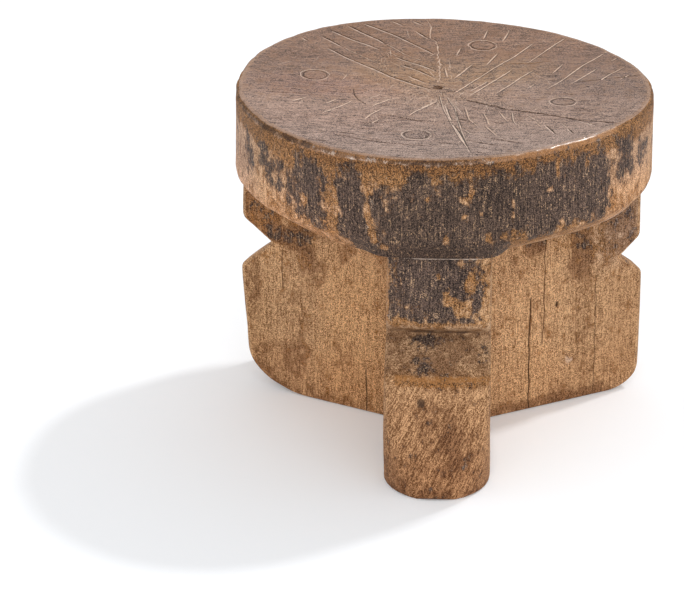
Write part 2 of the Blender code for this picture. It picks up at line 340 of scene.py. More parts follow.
class NodeBench:
    """Builds shader nodes in one tree with few words."""

    def __init__(self, tree: bpy.types.NodeTree) -> None:
        """Starts on an emptied tree."""
        self.tree = tree
        tree.nodes.clear()

    def node(
        self, kind: str, inputs: dict[str | int, object] | None = None, **settings: object
    ) -> bpy.types.Node:
        """Adds a node.

        Args:
            kind: the node's type.
            inputs: values or sockets for its inputs.
            **settings: properties of the node.

        Returns:
            The node.
        """
        made = self.tree.nodes.new(kind)
        for name, value in settings.items():
            setattr(made, name, value)
        for key, value in (inputs or {}).items():
            if isinstance(value, bpy.types.NodeSocket):
                self.tree.links.new(value, made.inputs[key])
            else:
                made.inputs[key].default_value = value
        return made

    def math(self, operation: str, first: Socket | float, second: Socket | float = 0.0) -> Socket:
        """Adds a calculation with two values and returns its result."""
        return self.node("ShaderNodeMath", {0: first, 1: second}, operation=operation).outputs[0]

    def times(self, first: Socket | float, second: Socket | float) -> Socket:
        """Adds a product of two values and returns it."""
        return self.math("MULTIPLY", first, second)

    def step(
        self, value: Socket | float, low: float, high: float, start: float = 0.0, end: float = 1.0
    ) -> Socket:
        """Adds a smooth step from start at low to end at high, and returns its result."""
        inputs = {"Value": value, "From Min": low, "From Max": high, "To Min": start, "To Max": end}
        return self.node("ShaderNodeMapRange", inputs, interpolation_type="SMOOTHSTEP").outputs[0]

    def mix(
        self, share: Socket | float, first: Socket | Colour, second: Socket | Colour, blend: str = "MIX"
    ) -> Socket:
        """Adds a mix of two colours and returns its result."""
        inputs = {0: share, 6: first, 7: second}
        return self.node("ShaderNodeMix", inputs, data_type="RGBA", blend_type=blend).outputs[2]

    def noise(self, place: Socket, scale: float, detail: float = 3.0, roughness: float = 0.55) -> Socket:
        """Adds noise of a scale in swells per metre and returns its value."""
        inputs = {"Vector": place, "Scale": scale, "Detail": detail, "Roughness": roughness}
        return self.node("ShaderNodeTexNoise", inputs).outputs[0]

    def grains(self, place: Socket, scale: float) -> Socket:
        """Adds grains of a count per metre, each of its own random value, and returns the value."""
        cells = self.node("ShaderNodeTexVoronoi", {"Vector": place, "Scale": scale}).outputs["Color"]
        return self.node("ShaderNodeSeparateColor", {0: cells}).outputs[0]

    def drawn_out(self, place: Socket, share: float, turn_deg: float = 0.0) -> Socket:
        """Adds mappings that turn a pattern about Y and draw it out along its turned upright.

        Args:
            place: the place to map.
            share: the pattern's scale along the upright, against that across it.
            turn_deg: the turn in degrees.

        Returns:
            The new place.
        """
        if turn_deg:
            turn = {"Vector": place, "Rotation": (0.0, math.radians(turn_deg), 0.0)}
            place = self.node("ShaderNodeMapping", turn).outputs[0]
        return self.node("ShaderNodeMapping", {"Vector": place, "Scale": (1.0, 1.0, share)}).outputs[0]

    def sum(self, start: Socket | float, *parts: tuple[Socket, float]) -> Socket:
        """Adds up a start and, for each part, its departure from one half times a weight.

        Args:
            start: the value to start from.
            *parts: values about one half, each with its weight.

        Returns:
            The total.
        """
        total = start
        for value, weight in parts:
            away = self.math("MULTIPLY_ADD", value, weight)
            away.node.inputs[2].default_value = -0.5 * weight
            total = self.math("ADD", total, away)
        return total


def new_group(
    name: str, inputs: dict[str, str], outputs: dict[str, str]
) -> tuple[NodeBench, dict[str, Socket], bpy.types.Node]:
    """Starts a shader node group.

    Args:
        name: the group's name.
        inputs: socket types by name.
        outputs: socket types by name.

    Returns:
        The bench on its tree, its inputs inside the tree by name, and its output node.
    """
    tree = bpy.data.node_groups.new(name, "ShaderNodeTree")
    for names, way in ((inputs, "INPUT"), (outputs, "OUTPUT")):
        for socket, kind in names.items():
            tree.interface.new_socket(socket, in_out=way, socket_type=kind)
    bench = NodeBench(tree)
    start = bench.node("NodeGroupInput")
    return bench, {socket: start.outputs[socket] for socket in inputs}, bench.node("NodeGroupOutput")


def grain_group() -> bpy.types.NodeTree:
    """The wood's grain, shared by every piece.

    Returns:
        A group that gives patterns from broad clouds down to fine grit, each about one half.
    """
    names = ("Streak", "Scratch", "Fibre", "Grit", "Speck", "Flake", "Cloud", "Slant", "Ripple")
    outputs = dict.fromkeys(names, "NodeSocketFloat")
    bench, inside, end = new_group("wood_grain", {"Place": "NodeSocketVector"}, outputs)
    place = inside["Place"]
    made = {
        "Streak": bench.noise(bench.drawn_out(place, 0.045), 420.0, 4.0, 0.62),
        "Scratch": bench.noise(bench.drawn_out(place, 0.06), 1100.0, 2.0, 0.5),
        "Fibre": bench.noise(bench.drawn_out(place, 0.22), 1300.0, 2.0, 0.55),
        "Grit": bench.grains(place, 2300.0),
        "Speck": bench.noise(bench.drawn_out(place, 0.7), 800.0, 3.0, 0.65),
        "Flake": bench.noise(bench.drawn_out(place, 0.8), 125.0, 8.0, 0.76),
        "Cloud": bench.noise(place, 26.0, 4.0, 0.55),
        "Slant": bench.noise(bench.drawn_out(place, 0.04, -27.0), 1050.0, 2.0, 0.5),
        "Ripple": bench.noise(bench.drawn_out(place, 0.16, 90.0), 560.0, 3.0, 0.6),
    }
    for name, socket in made.items():
        bench.tree.links.new(socket, end.inputs[name])
    return bench.tree


def ragged_group() -> bpy.types.NodeTree:
    """Ragged patches, shared by every kind of wear.

    Returns:
        A group that turns a soft field into a patch with a flaking edge.
    """
    value = "NodeSocketFloat"
    inputs = dict.fromkeys(("Field", "Streak", "Flake", "Grit", "Roughen", "Softness"), value)
    bench, inside, end = new_group("ragged_patch", inputs, {"Mask": value})
    rough = bench.sum(0.0, (inside["Streak"], 0.5), (inside["Flake"], 4.2), (inside["Grit"], 0.35))
    total = bench.math("ADD", inside["Field"], bench.times(rough, inside["Roughen"]))
    low = bench.math("SUBTRACT", 0.5, inside["Softness"])
    high = bench.math("ADD", 0.5, inside["Softness"])
    ends = {"Value": total, "From Min": low, "From Max": high}
    ranged = bench.node("ShaderNodeMapRange", ends, interpolation_type="SMOOTHSTEP")
    bench.tree.links.new(ranged.outputs[0], end.inputs["Mask"])
    return bench.tree


@dataclass(frozen=True)
class AgedWood:
    """The finish of the stool's wood: bare tan, worn ochre, black patina, and the seat's polished top."""

    name: str
    tan_dark: Colour
    tan_light: Colour
    ochre: Colour = (0.040, 0.015, 0.004, 1.0)
    orange: Colour = (0.46, 0.200, 0.056, 1.0)
    stain: Colour = (0.42, 0.34, 0.30, 1.0)
    patina_dark: Colour = (0.012, 0.006, 0.004, 1.0)
    patina_light: Colour = (0.180, 0.114, 0.082, 1.0)
    speck: Colour = (0.58, 0.36, 0.20, 1.0)
    top_dark: Colour = (0.030, 0.010, 0.005, 1.0)
    top_light: Colour = (0.53, 0.360, 0.280, 1.0)
    top_ochre: Colour = (0.40, 0.23, 0.13, 1.0)
    # Pale and dark colour the filled lines and marks, and also the painted highlights and painted shade
    pale: Colour = (0.86, 0.67, 0.54, 1.0)
    dark: Colour = (0.045, 0.022, 0.013, 1.0)
    matt: float = 0.72
    specular: float = 0.18
    polish: float = 0.9
    polish_roughness: float = 0.22

    def build(self, grain: bpy.types.NodeTree, ragged: bpy.types.NodeTree) -> bpy.types.Material:
        """Builds the material.

        Args:
            grain: the grain's node group.
            ragged: the ragged patches' node group.

        Returns:
            The material.
        """
        material = bpy.data.materials.new(self.name)
        material.use_nodes = True
        bench = NodeBench(material.node_tree)
        place = bench.node("ShaderNodeTexCoord").outputs["Object"]
        fibres = bench.node("ShaderNodeGroup", {"Place": place}, node_tree=grain)
        streak, scratch, fibre, grit, speck, flake, cloud, slant, ripple = fibres.outputs
        wear = {
            kind: bench.node("ShaderNodeAttribute", attribute_name=kind.value).outputs["Fac"] for kind in Wear
        }
        tint = bench.node("ShaderNodeAttribute", attribute_name=TINT).outputs["Color"]

        def patch(kind: Wear, roughen: Socket | float, softness: float) -> Socket:
            """A ragged patch of one kind of wear.

            Args:
                kind: the kind of wear.
                roughen: how strongly the grain breaks its edge up.
                softness: half the width of its edge, in steps of the wear's value.

            Returns:
                The patch's mask.
            """
            inputs = {"Field": wear[kind], "Streak": streak, "Flake": flake, "Grit": grit}
            inputs |= {"Roughen": roughen, "Softness": softness}
            return bench.node("ShaderNodeGroup", inputs, node_tree=ragged).outputs["Mask"]

        # Masks of the kinds of wear; the pale and dark masks also carry painted highlights and painted shade
        patina = patch(Wear.PATINA, 1.0, 0.10)
        ochre = patch(Wear.OCHRE, 1.0, 0.25)
        stain = patch(Wear.STAIN, 1.0, 0.30)
        loose = bench.step(wear[Wear.TOP], 0.0, 1.0, 0.5, 0.03)
        pale = patch(Wear.PALE, loose, 0.20)
        edge = bench.step(bench.sum(wear[Wear.EDGE], (flake, 0.8)), 0.3, 0.6)
        dark = patch(Wear.DARK, bench.times(wear[Wear.EDGE], -0.9), 0.25)
        top = bench.step(bench.sum(wear[Wear.TOP], (flake, 0.9)), 0.40, 0.60)

        # Colour of the bare wood, then stain, ochre and patina over it
        mixed = bench.sum(0.5, (grit, 1.4), (speck, 0.2), (fibre, 1.1), (scratch, 1.0))
        mixed = bench.sum(mixed, (streak, 1.0), (flake, 0.4), (cloud, 0.6))
        tooled = bench.times(wear[Wear.TOOLED], bench.sum(-0.08, (slant, 2.6)))
        bare = bench.step(bench.math("ADD", mixed, tooled), -0.1, 1.1)
        colour = bench.mix(bare, self.tan_dark, self.tan_light)
        stained = bench.mix(1.0, colour, self.stain, "MULTIPLY")
        colour = bench.mix(bench.times(stain, 0.85), colour, stained)
        warm = bench.step(bench.sum(0.32, (grit, 2.3), (speck, 2.6), (flake, 3.2), (fibre, 1.2)), 0.0, 1.0)
        chips = bench.sum(0.0, (grit, 0.4), (speck, 1.0), (flake, 0.9), (scratch, 0.7), (fibre, 0.4))
        fleck = bench.step(chips, 0.23, 0.33)
        rust = bench.mix(warm, self.ochre, self.orange)
        rust = bench.mix(bench.times(fleck, 0.6), rust, self.speck)
        colour = bench.mix(bench.times(ochre, 0.85), colour, rust)
        # Worn, polished edges go orange; along the seat's lower edge this is a painted highlight
        colour = bench.mix(bench.times(edge, 0.5), colour, self.orange)
        worn = bench.step(bench.sum(0.39, (fibre, 1.2), (grit, 1.2), (scratch, 1.4), (cloud, 0.6)), 0.0, 1.0)
        black = bench.mix(worn, self.patina_dark, self.patina_light)
        black = bench.mix(bench.times(fleck, 0.85), black, self.speck)
        colour = bench.mix(patina, colour, black)
        # The seat's top, then the tint, which also holds painted sheen, light and shade, and the pale and
        # dark lines and marks, some of them painted highlights and shade, over all
        rubbed = bench.sum(0.60, (grit, 1.5), (speck, 0.5), (ripple, 2.2), (flake, 1.4), (cloud, 0.7))
        rubbed = bench.step(rubbed, -0.1, 1.1)
        seat_top = bench.mix(rubbed, self.top_dark, self.top_light)
        seat_top = bench.mix(bench.times(ochre, 0.5), seat_top, self.top_ochre)
        stained = bench.mix(1.0, seat_top, self.stain, "MULTIPLY")
        seat_top = bench.mix(bench.times(stain, 0.6), seat_top, stained)
        colour = bench.mix(top, colour, seat_top)
        colour = bench.mix(1.0, colour, tint, "MULTIPLY")
        colour = bench.mix(bench.times(pale, 0.8), colour, self.pale)
        colour = bench.mix(bench.times(dark, 0.8), colour, self.dark)

        # Roughness and relief of the grain
        rough = bench.sum(self.matt, (grit, 0.12))
        rough = bench.math("SUBTRACT", rough, bench.times(patina, 0.14))
        rough = bench.math("SUBTRACT", rough, bench.times(edge, 0.46))
        rough = bench.math("SUBTRACT", rough, bench.times(top, self.matt - 0.46))
        height = bench.sum(0.5, (fibre, 0.6), (streak, 0.6), (grit, 0.12), (speck, 0.7), (scratch, 0.4))
        height = bench.math("ADD", height, bench.times(patina, 0.35))
        height = bench.math("ADD", height, bench.times(top, bench.sum(0.0, (ripple, 0.8))))
        tooling = bench.times(wear[Wear.TOOLED], bench.sum(0.0, (slant, 1.0)))
        height = bench.math("ADD", height, tooling)
        bump = bench.node("ShaderNodeBump", {"Strength": 0.6, "Distance": 0.0008, "Height": height})
        finish = {"Base Color": colour, "Roughness": rough, "Normal": bump.outputs[0]}
        finish |= {"Specular IOR Level": self.specular, "Coat Roughness": self.polish_roughness}
        finish |= {"Coat Weight": bench.times(edge, self.polish)}
        shader = bench.node("ShaderNodeBsdfPrincipled", finish)
        bench.node("ShaderNodeOutputMaterial", {"Surface": shader.outputs[0]})
        return material


@dataclass(frozen=True)
class Stroke:
    """A line cut or cracked into the seat's top, in millimetres from the seat's centre."""

    path: tuple[tuple[float, float], ...]
    width: float = 1.6
    depth: float = 0.7
    wear: Wear = Wear.PALE
    wander: float = 0.08
    fill: float = 1.0

    def drawn(self, rng: np.random.Generator) -> tuple[Array, Array]:
        """The stroke's line with a hand's wander, and its half width, which narrows to both ends.

        Args:
            rng: the source of the wander.

        Returns:
            The line's points and the half width at each, in metres.
        """
        line = spaced(np.array(self.path) * MM, STROKE_PITCH)
        line = line + rng.normal(0.0, self.wander * MM, line.shape)
        share = np.linspace(0.0, 1.0, len(line))
        taper = np.sqrt(np.clip(np.minimum(share, 1 - share) * len(line) / 3.0, 0.03, 1.0))
        uneven = 1 + 0.3 * rng.uniform(-1.0, 1.0, len(line))
        return line, self.width * MM / 2 * taper * uneven


def hatch(
    wear: Wear, *lines: tuple[float, ...], width: float = 1.5, depth: float = 0.8, fill: float = 1.0
) -> list[Stroke]:
    """Scored lines of one kind.

    Args:
        wear: what the lines are filled with.
        *lines: x and y of each point of a line in turn, in millimetres.
        width: the lines' width in millimetres.
        depth: their depth in millimetres.
        fill: how far the filling spreads over the width.

    Returns:
        A stroke for each line.
    """
    return [Stroke(tuple(zip(line[::2], line[1::2])), width, depth, wear, fill=fill) for line in lines]


def ornament() -> list[Stroke]:
    """The seat's scored pinwheel and its drying cracks.

    Returns:
        Four fans of hatching with painted shade and highlight lines beside them, the long radial cracks and
        the short cracks of the front.
    """
    far_left = hatch(
        Wear.DARK,
        (-70, 126, -47, 99, -40, 88), (-58, 131.5, -31.5, 105, -10, 78, -5, 71),
        (-82, 115, -62, 95, -45, 78), (-37, 138, -28, 128), (-19, 118, -10, 105), (-21.5, 139, -13, 129),
        (-88, 101.5, -80, 91.5, -72, 80), (-83, 77, -67, 57, -48, 38, -35, 22, -17, 5, -6, -4),
        (-23, 24, -10, 10), (-28, 47, -5, 23), (-32, 63, -14, 46, -3, 34), (-103, 98, -98, 91),
        width=1.7,
        depth=0.8,
        fill=1.25,
    )
    far_left += hatch(
        Wear.PALE,
        (-42, 91, -27.5, 70, -13, 56.5, -2, 45), (-72, 79, -58, 64, -45, 50), (-38, 72, -28, 61.5),
        (-33, 15, -24, 5, -13, -5),
    )
    right = hatch(
        Wear.PALE,
        (34, 121, 31, 102), (50, 118, 45, 98), (41, 73, 32.5, 48), (14, 82, 11, 68),
        (67.5, 92.5, 37.5, 40, 26, 21, 9, -12), (91, 102, 62, 52), (51, 37, 31.7, 5, 20, -17),
        (33, 14, 21, -6), (88, 48, 80, 31), (119, 70, 102, 45, 90, 23, 75, -1.5), (128, 60, 122, 52),
        (112, 38, 92, 7), (132, 40, 120, 25, 112, 11), (135, 25, 127, 14),
        (66, 36, 57.5, 23, 49, 5, 39, -11), (67.5, 10, 61.5, -1), (23, 51, 10, 22), (3, 42, 5, 22),
        fill=1.2,
    )
    near = hatch(
        Wear.PALE,
        (17.5, -43, 20, -65, 26.5, -80), (30, -52, 33, -67, 34, -77), (31, -78, 39, -102),
        (41.5, -50, 46, -67), (66, -72, 70, -84),
        fill=1.3,
    )
    near += hatch(
        Wear.PALE,
        (16, -85, 20.7, -95, 25.3, -99), (50, -50, 50.5, -66, 52.7, -78), (60, -57, 64, -64, 68, -71),
        (83, -75, 88, -87),
        width=1.0,
        depth=0.3,
    )
    near += hatch(
        Wear.DARK,
        (9.5, -76, 13.5, -93, 16.5, -108, 19.5, -126, 21, -134), (11, -48, 12.8, -67, 15.5, -85),
        (4.5, -38, 6.5, -57, 8.5, -69),
        width=1.2,
        depth=0.3,
        fill=1.2,
    )
    near += hatch(
        Wear.DARK,
        (72.5, -78, 79, -97.5), (87.5, -85, 91, -97), (95, -68, 108, -80),
    )
    near += hatch(
        Wear.PALE,
        (-1, -13, 3, -50, 8, -75, 13, -101, 20, -129), (5, -20, 10, -42, 12, -62, 15, -92, 18, -112),
        width=0.8,
        depth=0.3,
    )
    near_left = hatch(
        Wear.PALE,
        (-2.5, -27.5, -17, -48, -22, -59), (-35, -25, -45, -37, -48, -43), (-40, -46, -48, -58, -52, -68),
        (-62, -30, -72, -45, -82, -60), (-73, -27, -81, -37.5), (-93, -26, -105, -37.5), (-6, -31, -14, -42),
        (-42, -67, -50, -79),
        fill=1.7,
    )
    cracks = hatch(
        Wear.DARK,
        (19, -39, 27, -45), (11, -64, 25, -73), (33, -67, 45, -75), (28, -102.5, 42, -109, 58, -117.5),
        (20, -109, 33, -117.5, 40, -121), (22.5, -120, 33, -127), (23, -132, 33, -139), (92, -44, 103, -46),
        (45, 50, 63, 50.5, 80, 54), (97, 11, 110, 13, 122, 18, 140, 22), (-47, -49, -41, -47.5),
        (-122, -20, -92, -21), (-92, 2.5, -70, 1.7), (-45, -61, -32, -61, -26, -64, -17, -69, -9, -71.5),
        (-58, -76, -46, -74.5, -37, -74), (-57, -86, -46, -87), (-72, -97, -55, -100),
        (-72, -103, -58, -108, -42, -115, -22, -120, -5, -121), (-91, -113, -73, -118),
        width=1.7,
        depth=0.9,
        fill=1.3,
    )
    cracks += hatch(Wear.DARK, (-62, -5, -61, -18, -58, -28, -51, -40), width=1.2, depth=0.6)
    long_crack = ((15, -23), (30, -32.5), (50, -45), (65, -53), (82, -61), (95, -67), (110, -71), (123, -77))
    far_crack = (
        (-10, 142), (-9, 133), (-8, 120), (-8.7, 108), (-4, 97),
        (-3, 88), (-2.5, 68), (-0.8, 55), (-0.8, 42), (-1.5, 8),
    )
    side_crack = ((-42, 77), (-38, 67), (-42, 55), (-39, 38), (-36, 24))
    cracks += [
        Stroke(long_crack, 2.2, 1.4, Wear.DARK, 0.4, 1.5),
        Stroke(far_crack, 1.8, 1.0, Wear.PALE, 0.6, 0.75),
        Stroke(side_crack, 1.2, 0.5, Wear.PALE, 0.6, 0.55),
    ]
    # The fans' lines get painted shade and painted highlight lines beside them
    return with_painted_groove_light(far_left + right + near + near_left) + cracks


def with_painted_groove_light(strokes: list[Stroke]) -> list[Stroke]:
    """Gives each scored line a thinner companion of the other kind on one fixed side: painted shade beside a
    pale line and a painted highlight beside a dark one, for the groove's shaded and lit walls.

    Args:
        strokes: the scored lines.

    Returns:
        The lines and their companions.
    """
    other = {Wear.PALE: Wear.DARK, Wear.DARK: Wear.PALE}
    painted_walls = []
    for stroke in strokes:
        line = np.array(stroke.path, float)
        run = line[-1] - line[0]
        away = np.array([-run[1], run[0]]) / np.hypot(*run) * (1.1 if run[0] * run[1] > 0 else -1.1)
        moved = tuple(map(tuple, (line + away * stroke.width * 0.75).tolist()))
        dark = stroke.wear is Wear.DARK
        painted_walls.append(Stroke(moved, 1.2 if dark else 1.0, 0.15, other[stroke.wear], stroke.wander, 1.1))
    return strokes + painted_walls


def rays(count: int, seed: int) -> list[Stroke]:
    """Fine pale scratches that run out from the seat's centre.

    Args:
        count: how many.
        seed: the source of their places.

    Returns:
        A stroke for each.
    """
    rng = np.random.default_rng(seed)
    angle = rng.uniform(0.0, 2 * math.pi, count)
    start = rng.uniform(6.0, 42.0, count)
    end = start + rng.uniform(8.0, 26.0, count)
    bend = angle + rng.normal(0.0, 0.12, count)
    inner = np.stack([start * np.cos(angle), start * np.sin(angle)], axis=-1)
    outer = np.stack([end * np.cos(bend), end * np.sin(bend)], axis=-1)
    wears = np.where(rng.uniform(size=count) < 0.75, Wear.PALE, Wear.DARK)
    ends = zip(inner.tolist(), outer.tolist(), wears)
    return [Stroke((tuple(a), tuple(b)), 0.8, 0.2, wear, 0.15, 0.65) for a, b, wear in ends]


def checks(count: int, seed: int) -> list[Stroke]:
    """Fine dark drying checks that run from side to side over the seat's near half.

    Args:
        count: how many.
        seed: the source of their places.

    Returns:
        A stroke for each.
    """
    rng = np.random.default_rng(seed)
    y = rng.uniform(-132.0, 10.0, count)
    room = np.sqrt(137.0**2 - y**2)
    half = np.minimum(rng.uniform(7.0, 28.0, count), 0.45 * room)
    x = rng.uniform(-1.0, 1.0, count) * (room - half) * 0.93
    rise = half * np.tan(np.radians(rng.normal(-4.0, 7.0, count)))
    bow = rng.normal(0.0, 1.2, count)
    paths = np.stack([x - half, y - rise, x, y + bow, x + half, y + rise], axis=-1).reshape(-1, 3, 2)
    return [Stroke(tuple(map(tuple, path)), 0.8, 0.2, Wear.DARK, 0.3, 0.5) for path in paths.tolist()]


def scratches(count: int, seed: int) -> list[Stroke]:
    """Fine stray scratches over the seat's top, more of them towards the middle.

    Args:
        count: how many.
        seed: the source of their places.

    Returns:
        A stroke for each.
    """
    rng = np.random.default_rng(seed)
    away = 135 * rng.uniform(0.03, 1.0, count) ** 0.8
    angle = rng.uniform(0.0, 2 * math.pi, count)
    way = np.radians(np.where(rng.uniform(size=count) < 0.5, 61.0, -48.0) + rng.normal(0.0, 22.0, count))
    half = rng.uniform(2.0, 9.0, count)
    along = half[:, None] * np.stack([np.cos(way), np.sin(way)], axis=-1)
    start = np.stack([away * np.cos(angle), away * np.sin(angle)], axis=-1) - along
    end = start + 2 * along
    wears = np.where(rng.uniform(size=count) < 0.55, Wear.PALE, Wear.DARK)
    inside = np.maximum(np.hypot(*start.T), np.hypot(*end.T)) < 138
    return [
        Stroke((tuple(a), tuple(b)), 0.9, 0.25, wear, 0.15, 0.7)
        for a, b, wear, keep in zip(start.tolist(), end.tolist(), wears, inside)
        if keep
    ]


@dataclass(frozen=True)
class RingMark:
    """A round mark cut into the seat's top, in millimetres from the seat's centre."""

    x: float
    y: float
    radius: float
    width: float = 1.5
    depth: float = 0.6
    edge_gap: float = 1.8

    def strokes(self) -> list[Stroke]:
        """The mark as two strokes that close on themselves: the dark cut and, outside it, a pale ring that is
        a painted highlight on the cut's edge.

        Returns:
            The two strokes.
        """
        angle = np.linspace(0.0, 2 * math.pi, 33)
        way = np.stack([np.cos(angle), np.sin(angle)], axis=-1)
        inner, outer = (
            tuple(map(tuple, (radius * way + (self.x, self.y)).tolist()))
            for radius in (self.radius, self.radius + self.edge_gap)
        )
        cut = Stroke(inner, self.width, self.depth, Wear.DARK, 0.12, 1.3)
        # The pale outer ring is a painted highlight on the cut's edge
        return [cut, Stroke(outer, 1.0, 0.15, Wear.PALE, 0.2, 0.9)]


@dataclass
class Seat:
    """The thick round seat: hewn rim, chamfered below, dished and scored on top."""

    finish: bpy.types.Material
    height: float = 0.247
    centre: tuple[float, float] = (-0.002, 0.0077)
    radius: float = 0.14854
    thickness: float = 0.075
    side_height: float = 0.061
    side_flare: float = 0.0008
    lean: float = 0.0015
    chamfer_inset: float = 0.0145
    rim_rounding: float = 0.0042
    shoulder_rounding: float = 0.008
    lower_edge_rounding: float = 0.003
    dish_depth: float = 0.0035
    hole_place: tuple[float, float] = (-0.0019, 0.0)
    hole_radius: float = 0.00325
    hole_depth: float = 0.018
    hole_columns: int = 28
    underside_swell_share: float = 0.3
    swells: tuple[tuple[int, float, float], ...] = (
        (1, 0.00164, -113.8), (2, 0.00138, -65.5), (3, 0.00331, 5.3), (4, 0.00050, -11.5),
        (5, 0.00078, -16.8),
    )
    lower_edge_swell: tuple[int, float, float] = (4, 0.0045, -12.0)
    front_fill: float = 0.0078
    front_fill_rise: float = 0.0053
    front_fill_spread: float = 18.5
    top_waves: tuple[tuple[float, float, float, float], ...] = (
        (0.00026, 0.052, 20.0, 0.0), (0.00022, 0.046, 95.0, 60.0), (0.00022, 0.060, 150.0, 200.0),
    )
    columns: int = 640
    pitch: float = 0.0014
    top_pitch: float = 0.0023
    grid_half: float = 0.16
    stroke_clearance: float = 0.0007
    rim_clearance: float = 0.001
    noise: LatticeNoise = field(default_factory=lambda: LatticeNoise(11))
    hewn: tuple[Swells, ...] = (Swells(0.0005, 0.017, 0.07), Swells(0.00018, 0.005, 0.03, 3.0))
    dents: Swells = Swells(0.0004, 0.009, 0.009, 7.0)
    top_hewn: Swells = Swells(0.00015, 0.012, 1.0, 5.0)
    rings: tuple[RingMark, ...] = (
        RingMark(-90.5, 20.5, 8.7),
        RingMark(30.3, 88.0, 8.8),
        RingMark(85.8, -29.0, 8.0),
        RingMark(-16.0, -100.0, 8.5),
    )

    @property
    def underside(self) -> float:
        """Height of the seat's underside."""
        return self.height - self.thickness

    @property
    def shoulder(self) -> float:
        """Height at which the chamfer starts."""
        return self.height - self.side_height

    def swell(self, angle: Array) -> Array:
        """How far the hewn rim stands outside the true circle: a sum of cosines of the angle."""
        return sum(high * np.cos(count * (angle - math.radians(first))) for count, high, first in self.swells)

    def lower_edge(self, angle: Array) -> Array:
        """How far the lower edge stands outside its circle.

        It is a cosine of the angle, which over the front leg gives way to a fill that rises with the square
        of the angle from the front, under a window exp(-a^8).

        Args:
            angle: angles round the axis, in radians.

        Returns:
            The distances in metres.
        """
        count, high, first = self.lower_edge_swell
        swell = high * np.cos(count * (angle - math.radians(first)))
        away = (np.degrees(angle) + 90.0) / self.front_fill_spread
        over_leg = np.exp(-np.clip(away, -2.0, 2.0) ** 8)
        return swell + over_leg * (self.front_fill + self.front_fill_rise * away**2 - swell)

    def waves(self, x: Array, y: Array, share: Array) -> Array:
        """The top's gentle waves: plane cosines that fade to the centre hole and to the rim.

        Args:
            x: places along X from the seat's centre.
            y: places along Y from it.
            share: their share of the way from the centre to the rim.

        Returns:
            How far each place stands above the plain dish.
        """
        total = np.zeros_like(x)
        for high, long, way, phase in self.top_waves:
            along = x * math.cos(math.radians(way)) + y * math.sin(math.radians(way))
            total = total + high * np.cos(2 * math.pi * along / long + math.radians(phase))
        return total * smooth(share, 0.1, 0.3) * (1 - share**6)

    def reach(self, section_radius: Array, height: Array, angle: Array) -> Array:
        """Distance from the seat's axis of a place on its section.

        The section's radius is scaled by the swell, whose share fades to the underside, and the lower edge's
        own swell grows in proportion to the drop below the shoulder.

        Args:
            section_radius: radius on the plain round section.
            height: height of the place.
            angle: angle round the axis, in radians.

        Returns:
            The distance in metres.
        """
        drop = (self.height - height) / self.thickness
        share = (1 - (1 - self.underside_swell_share) * drop) / self.radius
        below = np.clip((self.shoulder - height) / (self.shoulder - self.underside), 0.0, 1.0)
        lean = self.lean * np.cos(angle) * np.clip((self.height - height) / self.side_height, 0.0, 1.0)
        return section_radius * (1 + share * self.swell(angle)) + self.lower_edge(angle) * below + lean

    def lower_surface(self, x: Array, y: Array) -> Array:
        """Height of the seat's lower surface over places in the plan: the underside, then the chamfer.

        Args:
            x: places along X.
            y: places along Y.

        Returns:
            The height at each place.
        """
        angle = np.arctan2(y - self.centre[1], x - self.centre[0])
        away = np.hypot(x - self.centre[0], y - self.centre[1])
        inner = self.reach(self.radius - self.chamfer_inset, np.full_like(away, self.underside), angle)
        outer = self.reach(self.radius + self.side_flare, np.full_like(away, self.shoulder), angle)
        climb = np.clip((away - inner) / (outer - inner), 0.0, 1.2)
        return self.underside + climb * (self.shoulder - self.underside)

    def section(self) -> Array:
        """The seat's section: straight sides with arcs at the lower edge, the shoulder and the rim.

        Returns:
            Radius and height of its points, from near the axis below to the brim above.
        """
        outside = filleted(
            [
                (self.radius * 0.2, self.underside),
                (self.radius - self.chamfer_inset, self.underside),
                (self.radius + self.side_flare, self.shoulder),
                (self.radius, self.height),
                (0.0, self.height),
            ],
            [self.lower_edge_rounding, self.shoulder_rounding, self.rim_rounding],
        )[:-1]
        below = np.linspace(outside[0], outside[1], 12, endpoint=False)
        return np.concatenate([below, spaced(outside[1:], self.pitch)])

    def body(self) -> Array:
        """The seat's rings from the underside to the brim.

        Each ring goes round the centre at the section's reach, with shallow hewn swells drawn out along the
        grain and small dents along the rim.

        Returns:
            Points by ring and by column.
        """
        section = self.section()
        angle = np.linspace(-math.pi, math.pi, self.columns, endpoint=False)[None, :]
        radius, height = section[:, :1], section[:, 1:]
        reach = self.reach(radius, height, angle)
        place = np.stack(
            [reach * np.cos(angle), reach * np.sin(angle), np.broadcast_to(height, reach.shape)], axis=-1
        )
        side = smooth(height, self.underside, self.underside + 0.006)
        hewn = sum(swells.over(place, self.noise) for swells in self.hewn)
        rim = smooth(height, self.height - 0.012, self.height - 0.004)
        hewn = hewn + rim * self.dents.over(place, self.noise)
        reach = reach + side * hewn
        x, y = self.centre[0] + reach * np.cos(angle), self.centre[1] + reach * np.sin(angle)
        return np.stack([x, y, place[..., 2]], axis=-1)

    def drawn_strokes(self, rng: np.random.Generator) -> list[tuple[Stroke, Array, Array]]:
        """Every line on the top: the ornament, stray scratches, rays, checks and round marks.

        Args:
            rng: the source of the strokes' wander.

        Returns:
            Each stroke with its drawn line and its half width.
        """
        strokes = ornament() + scratches(count=200, seed=8)
        strokes += rays(count=90, seed=9) + checks(count=80, seed=10)
        strokes += [stroke for mark in self.rings for stroke in mark.strokes()]
        return [(stroke, *stroke.drawn(rng)) for stroke in strokes]

